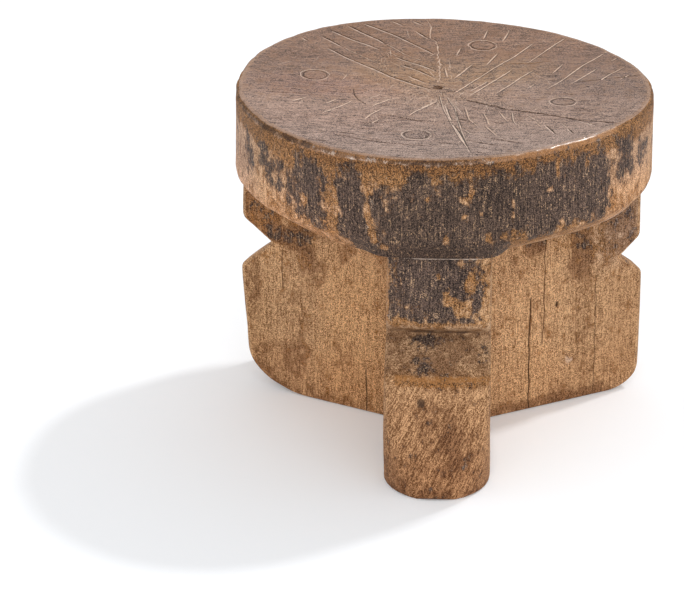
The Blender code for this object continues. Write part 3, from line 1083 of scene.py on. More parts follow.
    def rails(
        self, rim: Array, drawn: list[tuple[Stroke, Array, Array]], rng: np.random.Generator
    ) -> tuple[list[Array], list[Array]]:
        """Lines that the top's triangles follow: the rim, two circles at the hole's lip, and the strokes.

        A stroke has three rails: its line, and the line moved along its normal by the half width either way.

        Args:
            rim: the rim's points, from the seat's centre.
            drawn: the strokes with their lines and half widths.
            rng: the source of the lip's unevenness.

        Returns:
            The points of each rail, and the pairs of points that it joins.
        """
        hole = np.linspace(0.0, 2 * math.pi, self.hole_columns, endpoint=False)
        circle = np.stack([np.cos(hole), np.sin(hole)], axis=-1)
        lip = circle * self.hole_radius * (1 + 0.12 * rng.uniform(-1, 1, (self.hole_columns, 1)))
        points, edges, count = [], [], 0
        for loop in (rim, lip * 1.12 + self.hole_place, lip * 0.92 + self.hole_place):
            index = count + np.arange(len(loop))
            points.append(loop)
            edges.append(np.stack([index, np.roll(index, -1)], axis=-1))
            count += len(loop)
        for _, line, half in drawn:
            along = np.gradient(line, axis=0)
            across = np.stack([-along[:, 1], along[:, 0]], axis=-1)
            across = across / np.linalg.norm(along, axis=1, keepdims=True)
            for side in (-1.0, 0.0, 1.0):
                index = count + np.arange(len(line))
                points.append(line + side * half[:, None] * across)
                edges.append(np.stack([index[:-1], index[1:]], axis=-1))
                count += len(line)
        return points, edges

    def infill(
        self, rim: Array, drawn: list[tuple[Stroke, Array, Array]], rng: np.random.Generator
    ) -> Array:
        """Places between the rails: a staggered grid, shaken a little, clear of the rim, strokes and hole.

        Args:
            rim: the rim's points, from the seat's centre.
            drawn: the strokes with their lines and half widths.
            rng: the source of the shaking.

        Returns:
            The places in the plan, from the seat's centre.
        """
        rows = np.arange(-self.grid_half, self.grid_half, self.top_pitch * 0.87)
        columns = np.arange(-self.grid_half, self.grid_half, self.top_pitch)
        x, y = np.meshgrid(columns, rows)
        x = x + (np.arange(len(rows)) % 2)[:, None] * self.top_pitch / 2
        grid = np.stack([x.ravel(), y.ravel()], axis=-1)
        grid = grid + rng.uniform(-0.2, 0.2, grid.shape) * self.top_pitch
        edge = at_bearing(grid, rim, np.hypot(rim[:, 0], rim[:, 1]))
        away = np.hypot(grid[:, 0], grid[:, 1])
        _, gap = self.cut(grid, drawn)
        clear = (gap > self.stroke_clearance) & (away < edge - self.rim_clearance)
        clear &= np.hypot(*(grid - self.hole_place).T) > self.hole_radius * 1.4
        return grid[clear]

    def top(self, brim: Array) -> tuple[Array, Array, dict[Wear, Array]]:
        """The seat's dished top as triangles that follow every stroke, ring and the centre hole.

        Args:
            brim: the ring of points that the top meets.

        Returns:
            The points, the triangles and the wear on the points; the brim's points come first.
        """
        rng = np.random.default_rng(5)
        rim = brim[:, :2] - np.array(self.centre)
        drawn = self.drawn_strokes(rng)
        points, edges = self.rails(rim, drawn, rng)
        points.append(self.infill(rim, drawn, rng))
        places = [Vector(place) for place in np.concatenate(points).tolist()]
        made, _, faces, sources, *_ = delaunay_2d_cdt(places, np.concatenate(edges).tolist(), [], 1, 1e-7)
        flat = np.array([tuple(place) for place in made])
        origin = {old: new for new, olds in enumerate(sources) for old in olds}
        first = np.array([origin[i] for i in range(len(rim))])
        order = np.concatenate([first, np.setdiff1d(np.arange(len(flat)), first)])
        place = np.empty(len(flat), int)
        place[order] = np.arange(len(flat))
        flat, faces = flat[order], place[np.array(faces)]
        values, _ = self.cut(flat, drawn)
        return self.dished(flat, brim, values), faces, {kind: values[kind] for kind in (Wear.PALE, Wear.DARK)}

    def cut(self, flat: Array, drawn: list[tuple[Stroke, Array, Array]]) -> tuple[dict[object, Array], Array]:
        """What the strokes do at places of the top.

        A stroke's share falls evenly from 1 on its line to 0 at its edges. The depth is that share of the
        stroke's own, so a cut is a V, and the filling is a root of the share. Where strokes meet, the
        greater counts.

        Args:
            flat: places in the plan, from the seat's centre.
            drawn: the strokes with their lines and half widths.

        Returns:
            The cut's depth under "depth" and each kind of line's share by wear, and the distance to the
            nearest stroke's edge.
        """
        values = {key: np.zeros(len(flat)) for key in ("depth", Wear.PALE, Wear.DARK)}
        gap = np.full(len(flat), 1.0)
        for stroke, line, half in drawn:
            low, high = line.min(axis=0) - 0.004, line.max(axis=0) + 0.004
            near = np.flatnonzero(((flat > low) & (flat < high)).all(axis=1))
            start, step = line[:-1], np.diff(line, axis=0)
            reach = flat[near, None] - start
            t = np.clip((reach * step).sum(axis=-1) / (step**2).sum(axis=-1), 0.0, 1.0)
            away = np.linalg.norm(reach - t[..., None] * step, axis=-1)
            width = half[:-1] * (1 - t) + half[1:] * t
            best = (away - width).argmin(axis=1)
            pick = np.arange(len(near))
            share = np.clip(1 - away[pick, best] / width[pick, best], 0.0, 1.0)
            depth = share * stroke.depth * MM * np.minimum(1.0, width[pick, best] * 2 / (stroke.width * MM))
            values["depth"][near] = np.maximum(values["depth"][near], depth)
            fill = share ** (0.3 if stroke.wear is Wear.DARK else 0.5) * stroke.fill
            values[stroke.wear][near] = np.maximum(values[stroke.wear][near], fill)
            gap[near] = np.minimum(gap[near], (away - width).min(axis=1))
        return values, gap

    def dished(self, flat: Array, brim: Array, values: dict[object, Array]) -> Array:
        """Lifts places of the top to their heights.

        With r the share of the way to the rim, the dish is its depth times (1 - r^2) under the seat's height.
        The strokes' depths and the hole's are taken off, and the top's waves and swells added.

        Args:
            flat: places in the plan, from the seat's centre.
            brim: the ring of points that the top meets.
            values: the strokes' depths under "depth".

        Returns:
            The points in space.
        """
        rim = brim[:, :2] - np.array(self.centre)
        edge = at_bearing(flat, rim, np.hypot(rim[:, 0], rim[:, 1]))
        level = at_bearing(flat, rim, brim[:, 2])
        share = np.clip(np.hypot(flat[:, 0], flat[:, 1]) / edge, 0.0, 1.0)
        place = np.stack([flat[:, 0], flat[:, 1], np.zeros(len(flat))], axis=-1)
        uneven = self.top_hewn.over(place, self.noise) * (1 - share**6)
        uneven = uneven + self.waves(flat[:, 0], flat[:, 1], share)
        z = self.height + (level - self.height) * share**4 - self.dish_depth * (1 - share**2) + uneven
        hole = np.hypot(*(flat - self.hole_place).T) < self.hole_radius * 1.02
        z = z - values["depth"] - hole * self.hole_depth
        values[Wear.DARK] = np.maximum(values[Wear.DARK], hole)
        return np.concatenate([flat + np.array(self.centre), z[:, None]], axis=1)

    def side_wear_and_painted_light(self, points: Array) -> dict[Wear, Array]:
        """Wear on the seat's side and underside, with painted glints along the rim and a painted highlight
        along the lower edge.

        Each kind is the sum of its blots. Patina follows a noise away from the front, ochre grows to the rim
        and to the lower edge, and the top's wear starts at the brim.

        Args:
            points: the side's points.

        Returns:
            The values by kind of wear.
        """
        angle = np.degrees(np.arctan2(points[:, 1] - self.centre[1], points[:, 0] - self.centre[0]))
        angle = (angle + 270.0) % 360.0 - 270.0
        up = points[:, 2] / MM
        values = {kind: np.zeros(len(points)) for kind in Wear}
        for blot in SEAT_BLOTS:
            values[blot.wear] += blot.over(angle, up)
        front = np.exp(-(((angle + 90.0) / 95.0) ** 6))
        cloud = self.noise.grained(points, 0.03, 0.05)
        behind = (1 - front) * (0.45 + 0.75 * cloud) * smooth(up, 188.0, 202.0) * smooth(up, 243.0, 230.0)
        values[Wear.PATINA] += behind
        values[Wear.OCHRE] += smooth(up, 226.0, 238.0) + 0.3 * smooth(up, 205.0, 190.0)
        values[Wear.TOP] += smooth(up, 246.1, 247.0)
        return values

    def build(self) -> bpy.types.Object:
        """Builds the seat as one closed surface.

        Returns:
            The seat's object.
        """
        body = self.body()
        rows, columns = body.shape[:2]
        side = body.reshape(-1, 3)
        top, triangles, lines = self.top(body[-1])
        first = (rows - 1) * columns
        pole = np.array([[*self.centre, self.underside]])
        points = np.concatenate([side, top[columns:], pole])
        quads = ring_faces(rows, columns)
        around = np.arange(columns)
        fan = np.stack([np.roll(around, -1), around, np.full(columns, len(points) - 1)], axis=-1)
        faces = quads.tolist() + (triangles + first).tolist() + fan.tolist()
        values = self.side_wear_and_painted_light(points)
        # The top has its own wear: the lines, a mottled ochre and its own tints, which partly paint its sheen
        inner = np.arange(len(points)) >= len(side)
        inner[-1] = False
        values[Wear.TOP][inner] = 1.0
        for kind in (Wear.PATINA, Wear.OCHRE, Wear.STAIN, Wear.EDGE):
            values[kind][inner] = 0.0
        for kind, value in lines.items():
            values[kind][first : first + len(top)] = value
        plan = (points[:, :2] - np.array(self.centre)) / MM
        mottle = 0.4 * smooth(plan[:, 1], -70.0, 30.0) + 0.3 * self.noise.grained(points + 7.0, 0.03, 0.03)
        values[Wear.OCHRE][inner] = mottle[inner]
        angle = np.degrees(np.arctan2(plan[:, 1], plan[:, 0]))
        tint = np.ones((len(points), 3))
        for mark in SEAT_TOP_TINTS_AND_SHEEN:
            tint *= np.where(inner[:, None], mark.over(plan[:, 0], plan[:, 1]), 1.0)
        # The side's tints include a painted sheen, painted light from the floor and painted shade
        for mark in SEAT_SIDE_TINTS_AND_PAINTED_LIGHT:
            tint *= np.where(inner[:, None], 1.0, mark.over(angle, points[:, 2] / MM))
        return Surface(points, faces, values, tint).make("seat", "seat", self.finish)


# Chips in the patina: degrees round the axis, millimetres up, half width in degrees, half height
SEAT_CHIPS = (
    (-133, 229, 1, 2), (-127.5, 204, 1, 3), (-118.5, 213, 1, 4), (-117.5, 204, 0.5, 5), (-108, 222, 0.5, 2),
    (-108.6, 207, 0.8, 8), (-107.8, 196, 0.7, 7), (-106.6, 187, 0.8, 6), (-104, 181, 0.8, 1.8),
    (-93, 219, 0.5, 2), (-83, 218, 0.8, 2), (-81.5, 223, 0.5, 2), (-83.5, 206, 0.6, 1.5), (-79, 207, 0.5, 2),
    (-88, 190, 0.5, 3), (-77, 189, 1.2, 5), (-73, 191, 1.5, 4), (-70.5, 206, 0.5, 12), (-60, 218, 1, 2),
)
# What a chip does: the wear, its size against the chip's and its strength
CHIP_LAYERS = ((Wear.PATINA, 0.8, -0.7), (Wear.PATINA, 1.9, -0.5), (Wear.OCHRE, 1.0, -0.15))
# Wear on the seat's side, with painted glints along the rim and a painted highlight along its lower edge,
# by degrees round the axis and millimetres up
SEAT_BLOTS = tuple(
    Blot(wear, angle - wide * spread, angle + wide * spread, up - high * spread, up + high * spread, strength)
    for angle, up, wide, high in SEAT_CHIPS
    for wear, spread, strength in CHIP_LAYERS
) + blots(
    {
        Wear.PATINA: [
            (-109, -72, 150, 230, 1.2), (-97.5, -92.5, 223, 237, 0.7), (-78, -60, 184, 232, 1.1),
            (-63, -47.5, 191, 235, 1.1), (-48, -38.5, 188, 234, 1.1), (-132, -122, 190, 235, 0.85),
            (-127.5, -122.5, 206, 232, 0.4), (-121, -110, 184, 226, 0.75), (-117, -110, 212, 240, 0.5),
            (-109.5, -98, 226, 240, -0.5), (-113, -106, 168, 216, 0.75), (-158, -151, 203, 232, 0.5),
            (-148, -142, 214, 234, 0.55), (-143, -137, 204, 228, 0.55), (-138, -132, 202, 226, 0.5),
            (-35, -27, 208, 239, 0.8), (-24, -16, 206, 230, 0.55), (-120, -117.2, 186, 220, -0.7),
            (-48, -46.2, 214, 233, -0.8), (-58, -56.3, 222, 237, -0.8), (-70, -65.5, 176, 195, -0.8),
        ],
        Wear.OCHRE: [
            (-132, -38, 178, 240, 0.8), (-152, -118, 206, 242, 0.4),
        ],
        # The pale rows at 241 to 246 mm are painted glints along the worn rim, the widest at the left also
        # pale worn wood; the first row is a pale worn streak
        Wear.PALE: [
            (-110.6, -105.4, 180, 215, 0.22), (-122, -116.5, 243.6, 245.4, 0.38),
            (-115.5, -108.5, 243.2, 245.0, 0.44), (-107.6, -98, 243.4, 245.4, 0.38),
            (-97, -76, 242.6, 245.8, 0.34), (-150, -123, 241.4, 246, 0.3),
        ],
        # The edge row at 171 to 175.5 mm is a painted highlight along the seat's lower edge; the rows at the
        # rim are its worn, polished brim
        Wear.EDGE: [
            (-74, -34, 243.2, 250, 0.85), (-128, -104, 242, 247, 0.5), (-170, -126, 242, 246.6, 0.42),
            (-104, -74, 242.4, 246.6, 0.42), (-72, -15, 171, 175.5, 0.6),
        ],
        Wear.DARK: [
            (-182, -100, 243.0, 246.9, 0.62), (-100, -72, 243.2, 246.8, 0.52), (-34, 8, 243.4, 246.6, 0.5),
            (150, 182, 243.6, 246.6, 0.5),
        ],
    }
)
# Tints of the seat's top, by millimetres from its centre, and of its side, as the wear. On the top the first
# and last tints, browner at the back and greyer at the front, are partly painted sheen and partly the wood's
# tone
SEAT_TOP_TINTS_AND_SHEEN = (
    Tint(-160, 160, 45, 190, (0.79, 0.70, 0.62)), Tint(75, 170, -25, 75, (0.80, 0.79, 0.80)),
    Tint(-170, -70, -20, 70, (0.88, 0.85, 0.84)), Tint(-130, -30, -120, -30, (1.10, 1.08, 1.08)),
    Tint(-60, 0, 2, 62, (1.02, 0.98, 0.86)), Tint(2, 75, 12, 62, (1.0, 0.99, 0.90)),
    Tint(-125, -30, -22, 20, (1.05, 0.98, 0.98)), Tint(-45, 45, -30, 40, (1.08, 1.05, 0.98)),
    Tint(-160, 160, -190, -85, (1.0, 1.06, 1.12)),
)
# The first tint is a painted grazing sheen on the far left of the side, the fifth partly painted light from
# the floor on the lower right and partly its tan tone, and the last painted shade on the front of the
# downward-facing chamfer
SEAT_SIDE_TINTS_AND_PAINTED_LIGHT = (
    Tint(-186, -152, 150, 240, (1.02, 1.08, 1.30)), Tint(-186, -122, 165, 205, (1.18, 1.13, 1.09)),
    Tint(-140, -108, 186, 240, (1.09, 1.09, 1.14)), Tint(-186, -112, 150, 186, (1.36, 1.30, 1.26)),
    Tint(-40, -12, 165, 206, (1.20, 1.12, 1.04)), Tint(-64, -40, 185, 240, (1.22, 1.23, 1.27)),
    Tint(-40, -10, 200, 240, (0.94, 0.94, 1.0)), Tint(-132, -48, 236, 246, (0.80, 0.75, 0.70)),
    Tint(-110, -70, 150, 184, (0.78, 0.76, 0.76)),
)


@dataclass(frozen=True)
class Crack:
    """A drying crack up a leg's broad side: reach, heights of its ends, width and depth in millimetres."""

    face: Face
    reach: float
    bottom: float
    top: float
    width: float = 0.9
    depth: float = 1.2
    wander: float = 0.8

    def share(self, reach: Array, height: Array) -> Array:
        """How far into the crack a place is: 1 on its line, 0 at its edges and past its ends.

        Args:
            reach: places along the leg, in millimetres, with the crack's wander taken off.
            height: places up the leg, in millimetres.

        Returns:
            The share at each place.
        """
        run = min(8.0, (self.top - self.bottom) / 2)
        foot = smooth(height, self.bottom - 1, self.bottom + run / 3)
        ends = foot * smooth(height, self.top + 1, self.top - run)
        return np.clip(1 - np.abs(reach - self.reach) / (self.width / 2), 0.0, 1.0) * ends


@dataclass(frozen=True)
class Cut:
    """A tool mark on a leg's face, from one place to another across and up the face, in millimetres."""

    face: Face
    start: tuple[float, float]
    end: tuple[float, float]
    width: float = 1.3
    depth: float = 0.35
    wear: Wear = Wear.DARK
    fill: float = 0.6

    def share(self, across: Array, up: Array) -> Array:
        """How far into the mark a place is: 1 on its line, falling to 0 at its edges.

        Args:
            across: places across the face, in millimetres.
            up: places up the face, in millimetres.

        Returns:
            The share at each place.
        """
        start, step = np.array(self.start), np.array(self.end) - np.array(self.start)
        x, y = across - start[0], up - start[1]
        t = np.clip((x * step[0] + y * step[1]) / (step @ step), 0.0, 1.0)
        away = np.hypot(x - t * step[0], y - t * step[1])
        narrow = np.sqrt(np.clip(4 * t * (1 - t), 0.05, 1.0))
        return np.clip(1 - away / (self.width / 2 * narrow), 0.0, 1.0)


@dataclass
class Leg:
    """A broad radial leg with a V notch in its outer edge and a rounded toe, scribed to the seat."""

    name: str
    finish: bpy.types.Material
    seat: Seat
    azimuth_deg: float
    top_reach: float
    upper_lip: tuple[float, float]
    notch: tuple[float, float]
    lower_lip: tuple[float, float]
    foot_reach: float
    toe: tuple[float, float]
    toe_corner: float
    mitres_deg: tuple[float, float]
    fixed_reach: float
    seed: int
    cracks: tuple[Crack, ...] = ()
    cuts: tuple[Cut, ...] = ()
    blots: tuple[tuple[Face, Blot], ...] = ()
    tints: tuple[tuple[Face, Tint], ...] = ()
    axis: tuple[float, float] = (0.0, -0.0058)
    thickness_at_seat: float = 0.071
    thickness_at_floor: float = 0.0745
    face_swell: float = 0.0025
    edge_rounding: float = 0.004
    sole_rounding: float = 0.0018
    lip_rounding: float = 0.006
    notch_rounding: float = 0.0015
    scribe_start: float = 0.150
    scribe_bite: float = 0.0003
    mitre_blend: float = 0.010
    hewn_from: tuple[float, float] = (0.044, 0.060)
    hewn: tuple[Swells, ...] = (Swells(0.0005, 0.022, 0.05), Swells(0.00022, 0.006, 0.016, 2.0))
    blank_top: float = 0.192
    pitch: float = 0.0013
    end_columns: int = 50

    def outline(self) -> Array:
        """The leg's outer edge: straight from foot to lip to notch to lip to top, with arcs between.

        Returns:
            Reach and height of its points, from the foot's level up to the blank's top.
        """
        foot, top = (self.foot_reach, 0.0), (self.top_reach, self.blank_top)
        radii = [self.lip_rounding, self.notch_rounding, self.lip_rounding]
        return spaced(filleted([foot, self.lower_lip, self.notch, self.upper_lip, top], radii), self.pitch)

    def half_thickness(self, height: Array) -> Array:
        """Half of the leg's thickness: a straight taper, drawn in by a quarter circle round the sole's edge.

        Args:
            height: heights on the leg.

        Returns:
            The half thickness at each.
        """
        taper = self.thickness_at_seat - self.thickness_at_floor
        half = (self.thickness_at_floor + taper * height / self.seat.underside) / 2
        under = np.clip(1 - height / self.sole_rounding, 0.0, 1.0)
        return half - self.sole_rounding * (1 - np.sqrt(1 - under**2))

    def toe_lift(self, reach: Array, height: Array) -> Array:
        """How far the rounded toe lifts a place.

        Under the toe the sole climbs as a quarter ellipse, high * (1 - sqrt(1 - t^2)), and the lift fades to
        nothing at the lower lip.

        Args:
            reach: the place's reach, with the outer end's swell taken off.
            height: its height before the lift.

        Returns:
            The lift in metres.
        """
        long, high = self.toe
        t = np.clip((reach - self.foot_reach + long) / long, 0.0, 1.0)
        return high * (1 - np.sqrt(1 - t**2)) * np.clip(1 - height / (0.92 * self.lower_lip[1]), 0.0, 1.0)

    def side_columns(self, face: Face, inner: float) -> Array:
        """Reaches of a broad side's upright columns, closer together along its cracks.

        Args:
            face: the side.
            inner: reach of the side's inner end.

        Returns:
            The reaches in metres, growing.
        """
        plain = np.linspace(inner, self.fixed_reach, round((self.fixed_reach - inner) / self.pitch) + 1)
        for crack in self.cracks:
            if crack.face is face:
                lines = (crack.reach + crack.width * np.array([-1.1, -0.5, -0.2, 0.0, 0.2, 0.5, 1.1])) * MM
                clear = np.abs(plain - crack.reach * MM) > 1.3 * crack.width * MM
                plain = np.concatenate([plain[clear], lines])
        return np.sort(plain)

    def side(self, face: Face, edge: Array, half: Array, corner: Array) -> Array:
        """A broad side's points as reach and side, row by row, from the legs' axis out to the end's corner.

        Columns stand at fixed reaches up to where every row of the outline still reaches, and the rest share
        the way from there to the outline.

        Args:
            face: the side.
            edge: the outline's reach and height by row.
            half: half of the thickness by row.
            corner: the corner's rounding by row.

        Returns:
            The points by row and column.
        """
        mitre = math.radians(self.mitres_deg[0 if face is Face.LEFT else 1])
        inner = half / math.tan(mitre)
        start = float(inner.max())
        fixed = self.side_columns(face, start)[None, :]
        fixed = fixed + (inner - start) * np.clip(1 - (fixed - start) / self.mitre_blend, 0.0, 1.0)
        steps = round((self.foot_reach - self.fixed_reach) / self.pitch) + 4
        outer = np.linspace(0.0, 1.0, steps)[None, 1:]
        outer = self.fixed_reach + (edge[:, :1] - corner - self.face_swell - self.fixed_reach) * outer
        u = np.concatenate([fixed, outer], axis=1)
        return np.stack([u, np.broadcast_to(half if face is Face.LEFT else -half, u.shape)], axis=-1)

    def rings(self) -> tuple[Array, Array]:
        """The leg's rings in its own frame: reach, side and height.

        A ring runs from the tip at the legs' axis out along the right side, round the outer end, whose
        corners are arcs and whose face swells by (side / half)^2, and back along the left side. The toe's
        lift comes last.

        Returns:
            Points by row and column, and the number of each column's face.
        """
        edge = self.outline()
        reach, height = edge[:, :1], edge[:, 1:]
        half = self.half_thickness(height)
        fall = np.clip(1 - height / self.lower_lip[1], 0.0, 1.0)
        corner = self.edge_rounding + (self.toe_corner - self.edge_rounding) * fall**2
        right, left = self.side(Face.RIGHT, edge, half, corner), self.side(Face.LEFT, edge, half, corner)
        bend = np.linspace(0.0, math.pi / 2, 9)[None, 1:]
        flat = np.linspace(-1.0, 1.0, self.end_columns)[None, 1:-1]
        arc_u, arc_v = reach - corner * (1 - np.sin(bend)), half - corner * (1 - np.cos(bend))
        face_v = (half - corner) * flat
        end_u = np.concatenate([arc_u, np.broadcast_to(reach, face_v.shape), arc_u[:, ::-1]], axis=1)
        end_v = np.concatenate([-arc_v, face_v, arc_v[:, ::-1]], axis=1)
        end = np.stack([end_u - self.face_swell * (end_v / half) ** 2, end_v], axis=-1)
        tip = np.zeros((len(edge), 1, 2))
        plan = np.concatenate([tip, right, end, left[:, ::-1]], axis=1)
        numbers = [TIP_NUMBER, *(FACE_NUMBER[face] for face in (Face.RIGHT, Face.END, Face.LEFT))]
        faces = np.repeat(numbers, [part.shape[1] for part in (tip, right, end, left)])
        level = np.broadcast_to(height, plan.shape[:2])
        level = level + self.toe_lift(plan[..., 0] + self.face_swell * (plan[..., 1] / half) ** 2, level)
        return np.concatenate([plan, level[..., None]], axis=-1), faces

    def placed(self, local: Array) -> Array:
        """Turns points by the leg's azimuth to their place round the legs' axis.

        Args:
            local: reach, side and height in the leg's own frame.

        Returns:
            The points in place.
        """
        angle = math.radians(self.azimuth_deg)
        x = self.axis[0] + local[..., 0] * math.cos(angle) - local[..., 1] * math.sin(angle)
        y = self.axis[1] + local[..., 0] * math.sin(angle) + local[..., 1] * math.cos(angle)
        return np.stack([x, y, local[..., 2]], axis=-1)

    def carved(self, local: Array, faces: Array, noise: LatticeNoise) -> tuple[Array, dict[Wear, Array]]:
        """Hews, cracks and marks the leg's faces.

        Every face moves along its normal by soft swells and by the depth of its cracks and tool marks. A
        crack's columns wander with it.

        Args:
            local: the rings in the leg's own frame.
            faces: the number of each column's face.
            noise: the leg's noise.

        Returns:
            The carved rings and the filling of cracks and marks by kind of wear.
        """
        u, v, z = (local[..., i] for i in range(3))
        hewn = sum(swells.over(local, noise) for swells in self.hewn)
        fills = {kind: np.zeros_like(u) for kind in (Wear.DARK, Wear.PALE)}
        moved = u.copy()
        for crack in self.cracks:
            on = faces == FACE_NUMBER[crack.face]
            share = crack.share(u / MM, z / MM) * on
            line = np.stack([np.full_like(z, crack.reach), np.zeros_like(z), z / 0.011], axis=-1)
            bell = np.exp(-(((u - crack.reach * MM) / 0.005) ** 2)) * on
            moved = moved + bell * crack.wander * MM * noise.at(line)
            hewn = hewn - share * crack.depth * MM
            fills[Wear.DARK] = np.maximum(fills[Wear.DARK], np.clip(1.7 * share, 0.0, 1.0))
        for cut in self.cuts:
            on = faces == FACE_NUMBER[cut.face]
            share = cut.share((v if cut.face is Face.END else u) / MM, z / MM) * on
            hewn = hewn - share * cut.depth * MM
            fills[cut.wear] = np.maximum(fills[cut.wear], share * cut.fill)
        hewn = hewn * smooth(z, 0.0, 0.004)
        on_side = (faces == FACE_NUMBER[Face.LEFT]) | (faces == FACE_NUMBER[Face.RIGHT])
        broad = on_side * smooth(u, *self.hewn_from)
        moved = moved + (faces == FACE_NUMBER[Face.END]) * hewn
        return np.stack([moved, v + np.sign(v) * broad * hewn, z], axis=-1), fills

    def build(self) -> bpy.types.Object:
        """Builds the leg as one closed surface: its rings, its sole and its top, scribed to the seat.

        Above the scribe's start heights are stretched in proportion, so that the blank's top meets the seat's
        lower surface.

        Returns:
            The leg's object.
        """
        noise = LatticeNoise(self.seed)
        local, faces = self.rings()
        local, fills = self.carved(local, faces, noise)
        rows, columns = local.shape[:2]
        place = self.placed(local)
        ceiling = self.seat.lower_surface(place[..., 0], place[..., 1]) + self.scribe_bite
        z = place[..., 2]
        climb = np.clip(z - self.scribe_start, 0.0, None) / (self.blank_top - self.scribe_start)
        place[..., 2] = np.minimum(z, self.scribe_start) + climb * (ceiling - self.scribe_start)
        points = place.reshape(-1, 3)
        # The sole and the top are closed by quads from one side's columns across to the other's
        near = np.arange(1, columns // 2)
        sole = np.stack([near, columns - near, columns - near - 1, near + 1], axis=-1)
        top = (rows - 1) * columns + sole[:, ::-1]
        tip = (rows - 1) * columns
        caps = [list(dict.fromkeys(face)) for face in sole.tolist() + top.tolist()]
        caps += [[0, columns - 1, 1], [tip, tip + 1, tip + columns - 1]]
        caps = [face for face in caps if len(face) > 2]
        values, tint = self.wear(local.reshape(-1, 3), points[:, 2], np.tile(faces, rows), noise)
        for kind, fill in fills.items():
            values[kind] = np.maximum(values[kind], fill.ravel())
        surface = Surface(points, ring_faces(rows, columns).tolist() + caps, values, tint)
        return surface.make(self.name, self.name, self.finish)

    def wear(
        self, local: Array, height: Array, faces: Array, noise: LatticeNoise
    ) -> tuple[dict[Wear, Array], Array]:
        """Wear and tint on the leg, with painted shade under the front leg's lip and painted light on the
        rear legs' inner parts.

        Each kind is the sum of its blots, and the tint the product of the tints, each on its own face. Stain
        also follows a noise, and the wood grows darker towards the floor.

        Args:
            local: the leg's points in its own frame.
            height: their heights in place.
            faces: the number of each point's face.
            noise: the leg's noise.

        Returns:
            The values by kind of wear, and the tint.
        """
        values = {kind: np.zeros(len(local)) for kind in Wear}
        tint = np.ones((len(local), 3))
        up = height / MM
        for face, mark in self.blots + self.tints:
            on = faces == FACE_NUMBER[face]
            value = mark.over(local[:, 1 if face is Face.END else 0] / MM, up)
            if isinstance(mark, Tint):
                tint *= np.where(on[:, None], value, 1.0)
            else:
                values[mark.wear] += on * value
        cloud = noise.grained(local, 0.02, 0.04)
        values[Wear.PATINA] -= 0.35 * (faces != FACE_NUMBER[Face.END])
        values[Wear.STAIN] += 0.12 + 0.3 * cloud + 0.35 * smooth(up, 12.0, 2.0)
        return values, tint


# Wear, tints, painted shade and painted light of the legs, by millimetres across a face and up it
FRONT_BLOTS = on_face(Face.END, *blots({
    Wear.PATINA: [
        (-35, 34, 122, 200, 1.15), (-2.5, 1.5, 154, 161, -0.9), (2, 8, 142, 152, -0.8),
        (4, 13, 136.5, 143.5, -1.0), (10, 21, 129.5, 140, -1.1), (17, 25, 146, 159, -0.8),
        (17, 34, 148, 174, -0.45), (29, 38, 120, 152, -0.5), (-30, -21, 116, 127, -0.9),
        (-22, 2, 101, 109, 0.55), (-17, -3, 90, 99, 0.5), (27, 35, 97, 107, 0.5),
        (-40, 40, 115, 124, -0.8), (-42, -34.6, 118, 172, -0.9), (34.6, 42, 118, 172, -0.9),
    ],
    Wear.OCHRE: [
        (-40, 40, 118, 178, 0.8), (-40, 40, 83.5, 90.5, 0.75),
    ],
    Wear.STAIN: [
        (-40, 40, 88, 116, 0.6), (-40, 40, 0, 84, 0.2), (4, 19, 28, 52, 0.4),
    ],
    Wear.TOOLED: [
        (-60, 60, -9, 86, 1.0),
    ],
    Wear.EDGE: [
        (-38, -33.5, 118, 173, 0.7), (-38, 38, 87.0, 91.0, 0.6),
    ],
    # The band at 109.5 to 118.5 mm is painted shade on the notch's upper face under the lip; the first is a
    # knot
    Wear.DARK: [
        (-14, -8, 68.5, 75.5, 0.75), (-40, 40, 109.5, 118.5, 0.5),
    ],
    # A painted highlight along the seat's lower edge, where it meets the leg
    Wear.PALE: [
        (-37, 34, 170.9, 173.6, 1.0),
    ],
}))
FRONT_CUTS = (
    Cut(Face.END, (-13, 41), (2, 45)),
    Cut(Face.END, (10, 30), (25, 36)),
)
FRONT_TINTS = on_face(
    Face.END,
    Tint(-60, 60, -20, 84, (0.895, 0.82, 0.78)), Tint(-60, 60, -20, 34, (0.88, 0.82, 0.78)),
    Tint(-60, 60, 92, 117, (0.96, 1.03, 1.14)), Tint(-60, 60, 117, 124, (0.9, 0.93, 1.03)),
    Tint(-60, 60, 126, 172, (1.05, 1.07, 1.14)),
)
RIGHT_BLOTS = on_face(Face.RIGHT, *blots({
    Wear.PATINA: [
        (51, 66, 125, 142, 0.85), (87, 107, 112, 138, 0.62), (114, 146, 112, 165, 0.66),
    ],
    Wear.OCHRE: [
        (80, 150, 108, 170, 0.45),
    ],
    Wear.STAIN: [
        (51, 66, 124, 140, 1.3), (88, 106, 108, 137, 0.85), (80, 106, 98, 116, 0.65),
        (112, 142, 106, 165, 0.75), (45, 120, 0, 9, 0.5),
    ],
    Wear.PALE: [
        (80, 91, 28, 37, 0.45), (87, 93, 54, 63, 0.3),
    ],
}))
# The first tint of each rear leg is painted light that lifts the shade of its inner part
RIGHT_TINTS = on_face(
    Face.RIGHT,
    Tint(20, 76, 0, 120, (1.18, 1.18, 1.18)), Tint(0, 170, -20, 40, (0.94, 0.90, 0.86)),
    Tint(118, 170, 0, 100, (0.86, 0.82, 0.79)), Tint(108, 160, 108, 175, (1.0, 1.12, 1.42)),
)
